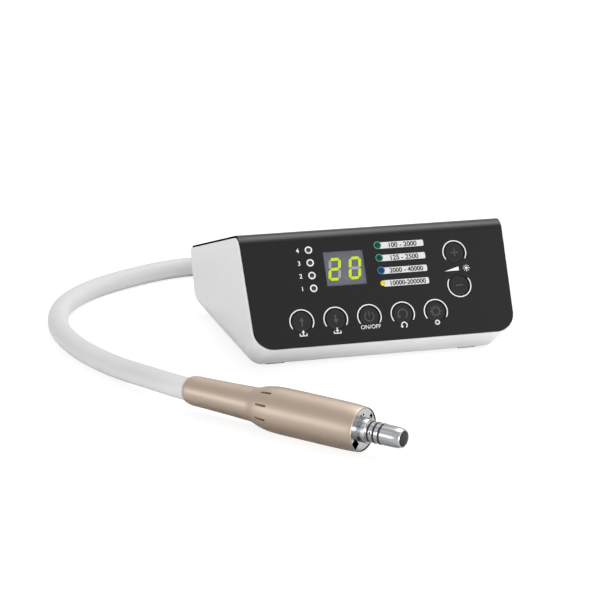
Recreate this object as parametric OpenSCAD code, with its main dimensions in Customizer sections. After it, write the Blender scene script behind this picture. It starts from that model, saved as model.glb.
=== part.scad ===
// Dental micromotor: a desk console with a sloping key panel, a hose and a motor handpiece.
// Millimetres. X runs to the right of the panel, Y to the back, Z up from the desk.

/* [Console body] */
// Width across the ridge
body_w = 144; // [130:1:170]
// Depth from the panel's lower edge to the top rear edge
body_d = 140; // [130:1:165]
// Length of the sloping panel from its lower edge to the ridge
panel_len = 61; // [59:0.5:70]
// Tilt of the panel from level
panel_deg = 61; // [56:0.5:66]
// Height of the panel's lower edge above the desk
panel_foot_z = 15.7; // [14:0.1:20]
// Rise of the chin below the panel from level
chin_deg = 31.5; // [28:0.5:36]
// Fall of the top towards the back
top_deg = 16; // [10:0.5:18]
// Lean of the back wall
back_deg = 11.5; // [6:0.5:16]
// How far each side comes in from ridge to base
side_draft = 2; // [0.5:0.1:4]
// Radius of the lower side edges, along the base and the chin
side_round = 11; // [6:0.5:12]
// Radius of the housing's lower rear edge
back_round = 5.5; // [3:0.5:8]
// Wall of the lower housing
wall = 2.5; // [1.8:0.1:3.5]

/* [Cover] */
// Thickness of the bent cover
cover_t = 1.2; // [1:0.1:2]
// Width of the pale rim left beside the cover
cover_inset = 1; // [0.5:0.1:2]
// Width of the pale rim left below the cover
cover_low = 0.2; // [0.1:0.1:1]
// Outer bend radius of the ridge
ridge_r = 7.5; // [4:0.5:10]
// Radius of the panel's lower corners
panel_corner_r = 10; // [6:0.5:14]
// Diameter of the posts that carry the cover
post_d = 8.4; // [7.4:0.1:10]
// Height of the housing posts above the desk
post_top_z = 18; // [14:0.5:24]
// Distance of the posts from the middle
post_x = 54; // [50:0.5:56]

/* [Feet and fasteners] */
// Width of a rubber foot
foot_w = 10; // [8:0.5:12]
// Depth of a rubber foot, front to back
foot_len = 9; // [7:0.5:10]
// Height of a foot below the base
foot_h = 1.5; // [1:0.1:3]
// Depth of the foot's seat in the base
foot_seat = 0.8; // [0.5:0.1:1.2]
// Diameter of the cover screws
cover_screw_d = 2.8; // [2:0.1:3.2]
// Diameter of the board screws
board_screw_d = 1.8; // [1.4:0.1:2.2]

/* [Keys] */
// Diameter of a key cap
key_d = 10.4; // [9:0.1:11.4]
// Gap round a key cap
key_gap = 0.2; // [0.1:0.05:0.3]
// Travel of a key
key_travel = 0.5; // [0.3:0.05:0.8]
// Spacing of the keys in the lower row
key_pitch = 17.95; // [17:0.05:19]
// Middle of the lower row, to the left of the panel's middle
key_row_x = -8.15; // [-10:0.05:-6]
// Height of the lower row up the panel
key_row_u = 13.4; // [12:0.1:15]
// Distance of the plus and minus keys from the panel's middle
side_key_x = 42.7; // [41:0.1:46]
// Height of the minus key up the panel
minus_u = 26.3; // [26:0.1:28]
// Height of the plus key up the panel
plus_u = 43.9; // [42:0.1:46]

/* [Display and lamps] */
// Width of the display window
window_w = 21.7; // [20:0.1:24]
// Height of the display window
window_h = 18.4; // [16:0.1:20]
// Middle of the window from the panel's middle
window_x = -17.1; // [-18.5:0.1:-16]
// Middle of the window up the panel
window_u = 39.8; // [38:0.1:42]
// Height of a digit
digit_h = 12; // [9:0.1:13]
// Stroke of a digit's segments
segment_t = 1.5; // [1:0.1:2]
// Slant of the digits
digit_slant = 8; // [0:1:10]
// Diameter of a lamp's light guide
lamp_d = 2.4; // [2:0.1:3]
// Spacing of the lamps in a column
lamp_pitch = 6.75; // [6:0.05:7]
// Column of the memory lamps
memory_x = -35.4; // [-37:0.1:-34]
// Column of the gear lamps
gear_x = 1.7; // [0:0.1:4]
// Lowest lamp's height up the panel
lamp_u = 30.3; // [29:0.1:31]

/* [Boards] */
// Thickness of both circuit boards
board_t = 1.6; // [1:0.1:2]
// Depth of the control board's face behind the panel
board_drop = 8; // [7:0.1:10]
// Width of the control board
board_w = 112; // [108:1:116]
// Height of the drive board above the base's inner face
board_rise = 5; // [4:0.1:8]
// Width of the drive board
drive_w = 90; // [84:1:94]
// Depth of the drive board
drive_d = 56; // [52:1:60]
// Height of the cooling fins
fin_h = 14; // [8:0.5:18]

/* [Rear fittings] */
// Outer diameter of the hose
hose_d = 11.2; // [10:0.1:12]
// Length of the tapered strain relief
boot_len = 22; // [20:1:30]
// Distance of the hose gland from the middle
gland_x = 2; // [-4:1:6]
// Height of the rear fittings up the back wall
fitting_v = 17; // [15:0.5:19]
// Outer diameter of the air nipple
nipple_d = 6; // [5:0.1:7]
// Diameter of the power socket's bore
jack_bore_d = 5.6; // [5:0.1:6]
// Diameter of the power socket's centre pin
jack_pin_d = 2; // [1.6:0.1:2.5]

/* [Motor] */
// Place of the motor's tail end on the desk, to the left of the console's middle
tail_x = -112.5; // [-116:0.5:-110]
// Place of the motor's tail end on the desk, in front of the panel's lower edge
tail_y = -37.5; // [-42:0.5:-34]
// Direction of the motor on the desk
motor_yaw = -52.3; // [-60:0.1:-45]
// Length of the motor from tail to front rim
motor_len = 101.5; // [101.5:0.5:110]
// Largest diameter of the motor sleeve
sleeve_d = 22; // [20.4:0.1:24]
// Diameter of the sleeve's front rim
rim_d = 21; // [20.4:0.1:22]
// Wall of the motor sleeve
sleeve_wall = 1.2; // [0.9:0.1:1.5]
// Wall of the tail sleeve round the hose
tail_wall = 1.7; // [1:0.1:2]
// Length of the tail sleeve
tail_len = 39.5; // [36:0.5:41.5]
// Length of the flare between the tail and the body
flare_len = 12; // [9:0.5:13]
// Number of grip notches round the flare
notch_count = 10; // [4:1:12]

/* [Nose] */
// Length of the coupling nose beyond the rim
nose_len = 22; // [21:0.1:25]
// Outer diameter of the nose
nose_d = 9.8; // [9:0.1:10.4]
// Outer diameter of the collar at the nose's root
collar_d = 11.6; // [11:0.1:13]
// Length of the collar beyond the rim
collar_len = 3.9; // [3:0.1:4.4]
// Bore at the nose's tip
nose_bore_d = 7.2; // [6.8:0.1:7.6]
// Depth of the tip bore
nose_bore_len = 9.4; // [8:0.1:9.6]
// Distance of the first seal ring from the rim
ring_s = 5; // [5:0.1:5.8]
// Spacing of the seal rings
ring_pitch = 3; // [2.5:0.1:3.1]
// Section diameter of a seal ring
ring_t = 1; // [0.8:0.05:1.2]

/* [Rotor and bearings] */
// Shaft diameter
shaft_d = 4; // [3:0.1:4.4]
// Outer diameter of a ball bearing
bearing_od = 10; // [9.4:0.1:11]
// Width of a ball bearing
bearing_w = 4; // [3:0.1:4.4]
// Number of balls in a bearing
ball_count = 7; // [5:1:7]
// Outer diameter of the rotor magnet
magnet_d = 10.2; // [9:0.1:11]
// Gap between magnet and stator
air_gap = 0.5; // [0.3:0.05:0.8]
// Length of the stator core
core_len = 22; // [18:0.5:22]

/* [Hidden] */
$fn = 64;

// General clearances
fit_gap = 0.05;
slide_gap = 0.3;
cut_more = 1;
far = 300;

// Console side view, as points of depth and height
base_z = foot_h;
foot_pt = [0, panel_foot_z];
ridge_pt = [panel_len * cos(panel_deg), panel_foot_z + panel_len * sin(panel_deg)];
top_back_pt = [body_d, ridge_pt.y - (body_d - ridge_pt.x) * tan(top_deg)];
back_low_pt = [body_d - (top_back_pt.y - base_z) * tan(back_deg), base_z];
chin_low_pt = [(panel_foot_z - base_z) / tan(chin_deg), base_z];
side_view = [foot_pt, chin_low_pt, back_low_pt, top_back_pt, ridge_pt];
lift = 8;
housing_view = inset(side_view, [0, 0, 0, cover_t, cover_t]);
cavity_view = inset(side_view, [wall, wall, wall, -lift, -lift]);
under_cover_view = inset(side_view, [cover_low, 0, cover_inset, cover_t, cover_t]);
cover_view = inset(side_view, [cover_low, 0, cover_inset, 0, 0]);

// Base, posts and feet
floor_z = base_z + wall;
post_front_y = 48;
post_back_in = 26;
post_back_y = body_d - post_back_in;
foot_margin = 1.4;
// The cuts at the chin's ends stand out and lean a little, so that they meet chin and sides at a clean angle
ear_out = 0.1;
ear_lean = 0.8;
foot_front_in = 3.8;
foot_back_in = 1;
foot_x = half_w(base_z) - side_round - foot_w / 2 - foot_margin;
foot_front_y = chin_low_pt.x + foot_len / 2 + foot_front_in;
foot_back_y = back_low_pt.x - back_round - foot_len / 2 - foot_back_in;
screw_head_out = 1.3;
screw_head_d = cover_screw_d + 2 * screw_head_out;
screw_head_h = 2;
screw_floor = 3;
screw_seat_z = base_z + screw_floor;
screw_bite = 8;
screw_spare = 1;
board_head_out = 0.9;
board_head_d = board_screw_d + 2 * board_head_out;
board_head_h = 1.2;

// Panel: places are along the panel, sizes behind its face run inwards
key_row = [for (i = [-2:2]) [key_row_x + i * key_pitch, key_row_u]];
plus_at = [side_key_x, plus_u];
minus_at = [side_key_x, minus_u];
key_places = concat(key_row, [plus_at, minus_at]);
key_flange_t = 0.8;
key_flange_out = 0.7;
key_rest_gap = 0.1;
stem_d = 2.8;
switch_w = 6;
switch_h = 3.6;
switch_floor = 1;
board_u0 = 5.5;
board_u1 = panel_len - board_u0;
panel_post_d = 4.8;
panel_post_in = 3;
panel_posts = [
    for (sx = [-1, 1], u = [board_u0 + panel_post_in, board_u1 - panel_post_in])
        [sx * (board_w / 2 - panel_post_in), u]
];
digit_w = digit_h * 0.55;
digit_pitch = window_w / 2;
segment_rise = 0.25;
dot_d = 1.4;
module_gap = 0.3;
module_rim = 0.8;
lamp_foot_out = 0.8;
lamp_foot_d = lamp_d + 2 * lamp_foot_out;
lamp_foot_h = 1.5;

// Drive board
drive_z = floor_z + board_rise;
drive_post_in = 4;
drive_y = post_front_y + post_d / 2 + drive_post_in;
drive_posts = [
    for (sx = [-1, 1], y = [drive_y + drive_post_in, drive_y + drive_d - drive_post_in])
        [sx * (drive_w / 2 - drive_post_in), y]
];
board_post_d = 6;
deck_z = drive_z + board_t;
sink_size = [36, 26];
sink_in = 15;
sink_at = [-4, drive_y + sink_in];
fin_t = 1.6;
fin_count = 7;
sink_base_h = 4;
transistor_size = [10, 4.5, 12];
part_gap = 2;
cap_d = 10;
cap_h = 15;
cap_x = -30;
header_size = [22, 6, 5];
header_in = 5.5;
lead_header_at = [gland_x, drive_y + drive_d - header_in];
ribbon_header_at = [0, drive_y + header_in];
ribbon_lead = 9;
ribbon_rise = 14;
ribbon_w = 18;
ribbon_t = 0.8;
ribbon_steps = 14;
sensor_size = [12, 12, 6];
sensor_in = 16;
sensor_at = [28, drive_y + drive_d - sensor_in];
tube_d = 4;
sensor_neck_h = 4;
sensor_top_z = deck_z + sensor_size.z + sensor_neck_h;
cable_lead = 8;
cable_rise = 9;
tube_lead = 6;
tube_bow = 10;

// Rear fittings, from the outer face of the back wall
wall_hole_gap = 0.1;
gland_thread_d = hose_d + 3;
gland_flange_d = gland_thread_d + 5;
gland_flange_t = 3;
boot_lip = 1.2;
gland_in = wall + 7;
hose_seat = 2;
cable_d = 6;
nut_t = 3;
nipple_x = gland_x + 22;
jack_x = gland_x + 40;
nipple_len = 10;
nipple_bore_d = nipple_d - 3;
nipple_thread_d = nipple_d + 2;
nipple_hex_d = nipple_thread_d + 4;
nipple_hex_t = 4;
nipple_in = wall + 8;
jack_thread_d = jack_bore_d + 2.8;
jack_flange_d = jack_thread_d + 3;
jack_flange_t = 1.4;
jack_bore_len = 9;
jack_in = wall + 10;

// Motor, lengths from the tail end
tail_d = hose_d + 2 * tail_wall;
neck_grow = 1.8;
neck_d = tail_d + neck_grow;
tail_round = 6;
tail_lip = 0.3;
tail_rise = tail_d / 2 - hose_d / 2 - tail_lip;
axis_z = sleeve_d / 2;
hose_in = 5;
hose_lead = 3;
hose_gap = 0.15;
tail_bore_r = hose_d / 2 + 0.4;
spigot_len = 8;
spigot_r = tail_bore_r - fit_gap;
spigot_bore_r = spigot_r - 1.4;
body_s = tail_len + flare_len;
crown_s = body_s + 10;
shoulder_len = 18;
shoulder_s = motor_len - shoulder_len;
rim_round = 4;
rim_swell = 0.25;
rim_edge = 0.4;
bore_s = body_s + 1;
bore_r = min(sleeve_d, rim_d) / 2 - sleeve_wall;
core_r = bore_r - fit_gap;
lip_edge = 0.3;
lip_r = rim_d / 2 - rim_edge - lip_edge;
lip_len = 2;
block_len = 5.5;
plate_len = 6;
plate_s = bore_s + block_len + 0.3;
plate_bearing_s = plate_s + plate_len - bearing_w;
flange_len = 9.6;
flange_sunk = 0.4;
flange_s = motor_len - flange_len;
flange_end_s = motor_len - flange_sunk;
flange_bearing_s = flange_s;
core_s = (plate_s + plate_len + flange_s) / 2 - core_len / 2;
washer_t = 0.4;
shaft_clear = 0.6;
nose_root = 4.4;
nose_root_s = motor_len - nose_root;
nose_tip_s = motor_len + nose_len;
tip_taper_len = 3;
tip_d = nose_d - 0.9;
drive_bore_d = nose_bore_d - 0.8;
dog_d = drive_bore_d - 1.2;
dog_s = nose_root_s + 4;
dog_end_s = nose_tip_s - nose_bore_len - 1.2;
dog_slot_w = 1.4;
dog_slot_len = 4;
ring_places = [for (i = [0:2]) motor_len + ring_s + i * ring_pitch];
ring_stand = 0.15;
spray_hole_d = 0.8;
spray_turns = [78, 258];
magnet_end = 1;
winding_end = 1.6;
winding_r0 = magnet_d / 2 + air_gap + 0.3;
winding_r1 = core_r - 1.8;
slot_count = 6;
slot_d = 1.4;
line_r = core_r - 1;
line_d = 1.3;
line_gap = 0.1;
line_turns = [205, 235];
lamp_turn = 126;
lamp_r = collar_d / 2 + 0.3;
lamp_pocket = [2.9, 2.2, 3];
lamp_chip = [1.5, 2.1];
lamp_sunk = 0.3;
port_turn = 184;
port_step = 8;
port_r = collar_d / 2 + 1.2;
port_d = 1.2;
port_depth = 5;
keyway_turn = 313;
keyway_r = collar_d / 2 + 0.4;
keyway_w = 4.6;
keyway_depth = 5;
wire_d = 1.2;
wire_ring_r = 2.4;
race_gap = 0.05;
ball_pitch_r = (bearing_od + shaft_d) / 4;
ball_r = (bearing_od - shaft_d) * 0.134;
ring_wall = (bearing_od - shaft_d) * 0.142;
cage_half = ball_r * 0.6;
notch_w = 0.9;
notch_turn = 30.5;
notch_over = 1.6;
notch_floor = 0.7;
// Flare from neck to body, as shares of its length and rise
flare_shape = [[0, 0], [0.17, 0.16], [0.42, 0.58], [0.7, 0.88], [1, 1]];
flare_short = 0.4;
flare_rise = (sleeve_d - neck_d) / 2 - flare_short;

// Centre of the footprint of console, gland and motor, where the frame's origin lies
axis_dir = [cos(motor_yaw), sin(motor_yaw)];
left_edge = tail_x + tail_round * axis_dir.x + (tail_d / 2 - tail_rise) * axis_dir.y
    - norm([tail_round * axis_dir.x, tail_rise * axis_dir.y]);
front_edge = tail_y + nose_tip_s * axis_dir.y - tip_d / 2 * axis_dir.x;
mid_x = (left_edge + body_w / 2) / 2;
rear_edge = back_point(0, gland_flange_t + boot_len).y + (hose_d / 2 + boot_lip) * sin(back_deg);
mid_y = (front_edge + rear_edge) / 2;

// Hose route: out of the gland, round behind the console, forwards and into the tail
hose_mid = [
    [-1.3, 178.5, 10], [-10.5, 195, 7.6], [-25, 207.5, 6.3], [-42, 214, 5.8], [-59, 214.2, 5.8],
    [-76, 209, 5.8], [-96, 198, 5.8], [-114, 185, 5.8], [-130, 168, 5.8], [-142, 148, 5.8],
    [-149, 126, 5.8], [-152, 103, 5.8], [-151, 80, 5.8], [-147, 57, 5.9], [-141, 36, 6.2],
    [-134.5, 15, 7.4], [-127.5, -6, 9.4], [-122.2, -20.5, 10.6]
];
hose_route = concat(
    [back_point(gland_x, hose_seat), back_point(gland_x, gland_flange_t + boot_len)],
    hose_mid,
    [motor_point(-hose_lead), motor_point(hose_in)]
);
hose_sides = 12;
thin_sides = 8;
cable_route = [
    back_point(gland_x, -gland_in), back_point(gland_x, -gland_in - cable_lead),
    [gland_x, lead_header_at.y, deck_z + header_size.z + cable_rise],
    [gland_x, lead_header_at.y, deck_z + header_size.z]
];
tube_route = [
    back_point(nipple_x, -nipple_in), back_point(nipple_x, -nipple_in - tube_lead),
    [(nipple_x + sensor_at.x) / 2, sensor_at.y + tube_lead, sensor_top_z + tube_bow],
    [sensor_at.x, sensor_at.y, sensor_top_z + tube_lead],
    [sensor_at.x, sensor_at.y, sensor_top_z]
];

// Outline helpers
function cross2(a, b) = a.x * b.y - a.y * b.x;
function way(p, i) = let (d = p[(i + 1) % len(p)] - p[i]) d / norm(d);
// Moves each edge of a counter-clockwise outline inwards by its own distance
function inset(p, d) = [
    for (i = [0:len(p) - 1])
        let (j = (i + len(p) - 1) % len(p), u = way(p, j), v = way(p, i))
        p[i] + (v * d[j] - u * d[i]) / cross2(u, v)
];
// Centre and tangent points of a round of radius r at corner i
function round_at(p, i, r) =
    let (
        n = len(p), a = p[(i + n - 1) % n] - p[i], b = p[(i + 1) % n] - p[i],
        u = a / norm(a), v = b / norm(b), half = acos(u * v) / 2, reach = r / tan(half)
    )
    [p[i] + (u + v) / norm(u + v) * r / sin(half), p[i] + u * reach, p[i] + v * reach];
// Half width of the console at a height
function half_w(z) = body_w / 2 - side_draft * (ridge_pt.y - z) / (ridge_pt.y - base_z);
// Depth and height of a point u up the panel and d in front of its face
function panel_point(u, d) = [
    u * cos(panel_deg) - d * sin(panel_deg), panel_foot_z + u * sin(panel_deg) + d * cos(panel_deg)
];
// Point at a distance out of the back wall, level with the fittings
function back_point(x, out) = [
    x, back_low_pt.x + fitting_v * sin(back_deg) + out * cos(back_deg),
    base_z + fitting_v * cos(back_deg) - out * sin(back_deg)
];
// Point on the motor's axis
function motor_point(s) = [tail_x + s * axis_dir.x, tail_y + s * axis_dir.y, axis_z];
// Cubic curve through four control points
function bezier(a, b, c, d, t) =
    a * pow(1 - t, 3) + 3 * b * t * pow(1 - t, 2) + 3 * c * t * t * (1 - t) + d * pow(t, 3);

// Placing helpers
module framed() { translate([-mid_x, -mid_y, 0]) children(); }
module on_panel(x = 0, u = 0) {
    translate([0, 0, panel_foot_z]) rotate([panel_deg, 0, 0]) translate([x, u, 0]) children();
}
module on_back(x) { translate(back_point(x, 0)) rotate([-back_deg, 0, 0]) rotate([90, 0, 180]) children(); }
module on_motor(s = 0) { translate(motor_point(s)) rotate([0, 90, motor_yaw]) children(); }
module turned(r, turn) { rotate([0, 0, turn]) translate([r, 0, 0]) children(); }

// Round bar or ring from s0 to s1 along Z
module bar(r, s0, s1) { translate([0, 0, s0]) cylinder(r = r, h = s1 - s0); }
module ring(r0, r1, s0, s1) {
    difference() {
        bar(r1, s0, s1);
        bar(r0, s0 - cut_more, s1 + cut_more);
    }
}

// Flat outline with chosen corners rounded
module rounded(p, radii) {
    difference() {
        polygon(p);
        for (i = [0:len(p) - 1]) if (radii[i] > 0) corner_quad(p, i, radii[i]);
    }
    for (i = [0:len(p) - 1]) if (radii[i] > 0) translate(round_at(p, i, radii[i])[0]) circle(r = radii[i]);
}
module corner_quad(p, i, r) {
    c = round_at(p, i, r);
    polygon([p[i] * 2 - c[0], c[1], c[0], c[2]]);
}

// Extrudes a side view across the console
module across(w) { rotate([90, 0, 90]) translate([0, 0, -w / 2]) linear_extrude(w) children(); }
// Extrudes a front view along the console's depth
module along() {
    translate([0, body_d + lift, 0]) rotate([90, 0, 0]) linear_extrude(body_d + 3 * lift) children();
}

// Front view between the sides, drawn in by d all round, open at the top
module front_view(d, r) {
    top_z = ridge_pt.y + lift;
    z0 = base_z + d;
    rounded(
        [[d - half_w(z0), z0], [half_w(z0) - d, z0], [half_w(top_z) - d, top_z], [d - half_w(top_z), top_z]],
        [r, r, 0, 0]
    );
}

// Ears outside the rounded edges between chin and sides, along those edges
module chin_ears(d) {
    lean = side_draft / (ridge_pt.y - base_z);
    for (sx = [-1, 1]) {
        outline = [[-sx * far, 0], [0, 0], [sx * far * lean * cos(chin_deg), far]];
        translate([sx * (half_w(panel_foot_z) + ear_out), 0, panel_foot_z])
            rotate([90 - chin_deg - ear_lean, 0, 0])
            rotate([0, sx * (atan(lean * sin(chin_deg)) - ear_lean), 0])
            translate([0, -ear_out, -far / 2]) linear_extrude(far) difference() {
                corner_quad(outline, 1, side_round);
                translate(round_at(outline, 1, side_round)[0]) circle(r = side_round - d);
            }
    }
}

module housing_shell() {
    difference() {
        intersection() {
            across(body_w + lift) rounded(housing_view, [0, 0, back_round, 0, ridge_r - cover_t]);
            along() front_view(0, side_round);
        }
        chin_ears(0);
        difference() {
            intersection() {
                across(body_w + lift) polygon(cavity_view);
                along() front_view(wall, side_round - wall);
            }
            chin_ears(wall);
        }
    }
}

module at_posts() {
    for (sx = [-1, 1], y = [post_front_y, post_back_y]) translate([sx * post_x, y, 0]) children();
}
module at_feet() {
    for (sx = [-1, 1], y = [foot_front_y, foot_back_y]) translate([sx * foot_x, y, 0]) children();
}
// Block of a foot's outline, grown by a margin
module pad(more, z0, z1) {
    translate([-foot_w / 2 - more, -foot_len / 2 - more, z0])
        cube([foot_w + 2 * more, foot_len + 2 * more, z1 - z0]);
}
module at_drive_posts() { for (p = drive_posts) translate([p.x, p.y, 0]) children(); }
module at_panel_posts() { for (p = panel_posts) on_panel(p.x, p.y) children(); }

module lower_housing() {
    color("gainsboro") difference() {
        union() {
            housing_shell();
            at_posts() bar(post_d / 2, floor_z - fit_gap, post_top_z);
            at_drive_posts() bar(board_post_d / 2, floor_z - fit_gap, drive_z);
        }
        at_posts() {
            bar(screw_head_d / 2 + fit_gap, base_z - cut_more, screw_seat_z);
            bar(cover_screw_d / 2 + 2 * fit_gap, base_z, post_top_z + cut_more);
        }
        at_drive_posts() bar(board_screw_d / 2 + fit_gap, floor_z, drive_z + cut_more);
        at_feet() pad(fit_gap, base_z - cut_more, base_z + foot_seat);
        on_back(gland_x) bar(gland_thread_d / 2 + wall_hole_gap, -wall - cut_more, cut_more);
        on_back(nipple_x) bar(nipple_thread_d / 2 + wall_hole_gap, -wall - cut_more, cut_more);
        on_back(jack_x) bar(jack_thread_d / 2 + wall_hole_gap, -wall - cut_more, cut_more);
    }
}

// Outline of the cover seen square to the panel, narrower than the housing by the rim
cover_outline = [
    [-half_w(panel_foot_z) + cover_inset, cover_low], [half_w(panel_foot_z) - cover_inset, cover_low],
    [half_w(ridge_pt.y) - cover_inset, panel_len], [half_w(ridge_pt.y) - cover_inset, 3 * panel_len],
    [-half_w(ridge_pt.y) + cover_inset, 3 * panel_len], [-half_w(ridge_pt.y) + cover_inset, panel_len]
];

module cover_sheet() {
    intersection() {
        across(body_w + lift) difference() {
            rounded(cover_view, [0, 0, 0, 0, ridge_r]);
            rounded(under_cover_view, [0, 0, 0, 0, ridge_r - cover_t]);
        }
        along() front_view(cover_inset, 0);
        cover_lower_corners();
    }
}
// Everything but the ears outside the panel's rounded lower corners
module cover_lower_corners() {
    difference() {
        translate([-far / 2, -far / 2, 0]) cube(far);
        on_panel() translate([0, 0, -far / 2]) linear_extrude(far) for (i = [0, 1]) difference() {
            corner_quad(cover_outline, i, panel_corner_r);
            translate(round_at(cover_outline, i, panel_corner_r)[0]) circle(r = panel_corner_r);
        }
    }
}

module top_cover() {
    color("#2a2a2c") difference() {
        union() {
            cover_sheet();
            intersection() {
                at_posts() bar(post_d / 2, post_top_z, far / 2);
                across(body_w) polygon(inset(side_view, [0, 0, 0, cover_t / 2, cover_t / 2]));
            }
            at_panel_posts() bar(panel_post_d / 2, -board_drop, -cover_t / 2);
        }
        at_posts()
            bar(cover_screw_d / 2 + fit_gap, post_top_z - cut_more, post_top_z + screw_bite + screw_spare);
        at_panel_posts() bar(board_screw_d / 2 + fit_gap, -board_drop - cut_more, -cover_t - cut_more);
        for (p = key_places) on_panel(p.x, p.y) bar(key_d / 2 + key_gap, -cover_t - cut_more, cut_more);
        for (p = concat(memory_places, gear_places)) {
            on_panel(p.x, p.y) bar(lamp_d / 2 + fit_gap, -cover_t - cut_more, cut_more);
        }
        on_panel(window_x, window_u) translate([0, 0, -cover_t / 2])
            cube([window_w, window_h, cover_t + cut_more], center = true);
    }
}
memory_places = [for (i = [0:3]) [memory_x, lamp_u + i * lamp_pitch]];
gear_places = [for (i = [0:3]) [gear_x, lamp_u + i * lamp_pitch]];

module rubber_feet() { color("#1c1c1c") at_feet() pad(0, 0, base_z + foot_seat); }

module screw(d, head_d, head_h, length) {
    bar(head_d / 2, -head_h, 0);
    bar(d / 2, -fit_gap, length);
}
module cover_screws() {
    length = post_top_z + screw_bite - screw_seat_z;
    color("silver") at_posts() translate([0, 0, screw_seat_z])
        screw(cover_screw_d, screw_head_d, screw_head_h, length);
}
module control_board_screws() {
    color("silver") at_panel_posts() translate([0, 0, -board_drop - board_t])
        screw(board_screw_d, board_head_d, board_head_h, board_t + board_drop - cover_t - 2 * cut_more);
}
module drive_board_screws() {
    color("silver") at_drive_posts() translate([0, 0, deck_z]) mirror([0, 0, 1])
        screw(board_screw_d, board_head_d, board_head_h, board_t + board_rise - cut_more);
}

module display_lens() {
    color("#70747c", 0.6) on_panel(window_x, window_u) translate([0, 0, -cover_t / 2])
        cube([window_w - 2 * fit_gap, window_h - 2 * fit_gap, cover_t], center = true);
}
module display_module() {
    top = -cover_t - module_gap;
    color("#6e7178") on_panel(window_x, window_u) translate([0, 0, (top - board_drop) / 2])
        cube([window_w + 2 * module_rim, window_h + 2 * module_rim, board_drop + top], center = true);
}
// One digit's segments, a to g: bars with pointed ends on a slanted frame
segment_ways = [
    [[-1, 1], [1, 1]], [[1, 1], [1, 0]], [[1, 0], [1, -1]], [[-1, -1], [1, -1]],
    [[-1, 0], [-1, -1]], [[-1, 1], [-1, 0]], [[-1, 0], [1, 0]]
];
function slanted(p) = [p.x + p.y * tan(digit_slant), p.y];
module segment(i) {
    reach = [(digit_w - segment_t) / 2, (digit_h - segment_t) / 2];
    a = [segment_ways[i][0].x * reach.x, segment_ways[i][0].y * reach.y];
    b = [segment_ways[i][1].x * reach.x, segment_ways[i][1].y * reach.y];
    u = (b - a) / norm(b - a);
    v = [-u.y, u.x] * segment_t / 2;
    tip = u * segment_t * 0.12;
    bevel = u * segment_t * 0.62;
    outline = [a + tip, a + bevel + v, b - bevel + v, b - tip, b - bevel - v, a + bevel - v];
    polygon([for (p = outline) slanted(p)]);
}
module segments(left, right) {
    on_panel(window_x, window_u) translate([0, 0, -cover_t - module_gap]) linear_extrude(segment_rise) {
        translate([-digit_pitch / 2, 0]) for (i = left) segment(i);
        translate([digit_pitch / 2, 0]) for (i = right) segment(i);
    }
}
module lit_segments() { color("#c8f020") segments([0, 1, 6, 4, 3], [0, 1, 2, 3, 4, 5]); }
module dark_segments() {
    color("#a9adb5") {
        segments([5, 2], [6]);
        on_panel(window_x, window_u - (digit_h - dot_d) / 2) translate([0, 0, -cover_t - module_gap])
            bar(dot_d / 2, 0, segment_rise);
    }
}

module control_board() {
    color("darkgreen") difference() {
        on_panel(0, board_u0) translate([-board_w / 2, 0, -board_drop - board_t])
            cube([board_w, board_u1 - board_u0, board_t]);
        at_panel_posts()
            bar(board_screw_d / 2 + fit_gap, -board_drop - board_t - cut_more, -board_drop + cut_more);
    }
}
module key_switches() {
    color("#303030") for (p = key_places) on_panel(p.x, p.y) difference() {
        translate([-switch_w / 2, -switch_w / 2, -board_drop]) cube([switch_w, switch_w, switch_h]);
        bar(stem_d / 2 + slide_gap, -board_drop + switch_floor, 0);
    }
}
module key_cap(p) {
    flange_top = -cover_t - key_rest_gap;
    flange_low = flange_top - key_flange_t;
    color("#343436") on_panel(p.x, p.y) {
        bar(key_d / 2, flange_low, 0);
        bar(key_d / 2 + key_flange_out, flange_low, flange_top);
        bar(stem_d / 2, -board_drop + switch_floor + key_travel + key_rest_gap, flange_low + fit_gap);
    }
}
module recall_key() { key_cap(key_row[0]); }
module store_key() { key_cap(key_row[1]); }
module power_key() { key_cap(key_row[2]); }
module reverse_key() { key_cap(key_row[3]); }
module set_key() { key_cap(key_row[4]); }
module plus_key() { key_cap(plus_at); }
module minus_key() { key_cap(minus_at); }

module light_guide(p) {
    on_panel(p.x, p.y) {
        bar(lamp_d / 2, -board_drop, 0);
        bar(lamp_foot_d / 2, -board_drop, -board_drop + lamp_foot_h);
    }
}
module memory_lamps() { color("#303436") for (p = memory_places) light_guide(p); }
module green_lamps() { color("#2c6e56") for (i = [2, 3]) light_guide(gear_places[i]); }
module blue_lamp() { color("#24466e") light_guide(gear_places[1]); }
module yellow_lamp() { color("#e6da2c") light_guide(gear_places[0]); }

module drive_board() {
    color("darkgreen") difference() {
        translate([-drive_w / 2, drive_y, drive_z]) cube([drive_w, drive_d, board_t]);
        at_drive_posts() bar(board_screw_d / 2 + fit_gap, drive_z - cut_more, deck_z + cut_more);
    }
}
module heat_sink() {
    step = (sink_size.x - fin_t) / (fin_count - 1);
    color("silver") translate([sink_at.x - sink_size.x / 2, sink_at.y, deck_z]) {
        cube([sink_size.x, sink_size.y, sink_base_h]);
        for (i = [0:fin_count - 1])
            translate([i * step, 0, sink_base_h - fit_gap]) cube([fin_t, sink_size.y, fin_h]);
    }
}
module power_transistors() {
    step = transistor_size.x + part_gap;
    color("#202020") for (i = [-1:1])
        translate([sink_at.x + i * step - transistor_size.x / 2, sink_at.y + sink_size.y, deck_z])
            cube(transistor_size);
}
module capacitors() {
    color("#2c3e66") for (i = [0:1])
        translate([cap_x, drive_y + cap_d + i * (cap_d + part_gap), 0])
            bar(cap_d / 2, deck_z, deck_z + cap_h);
}
module header(at) {
    translate([at.x - header_size.x / 2, at.y - header_size.y / 2, deck_z]) cube(header_size);
}
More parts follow.
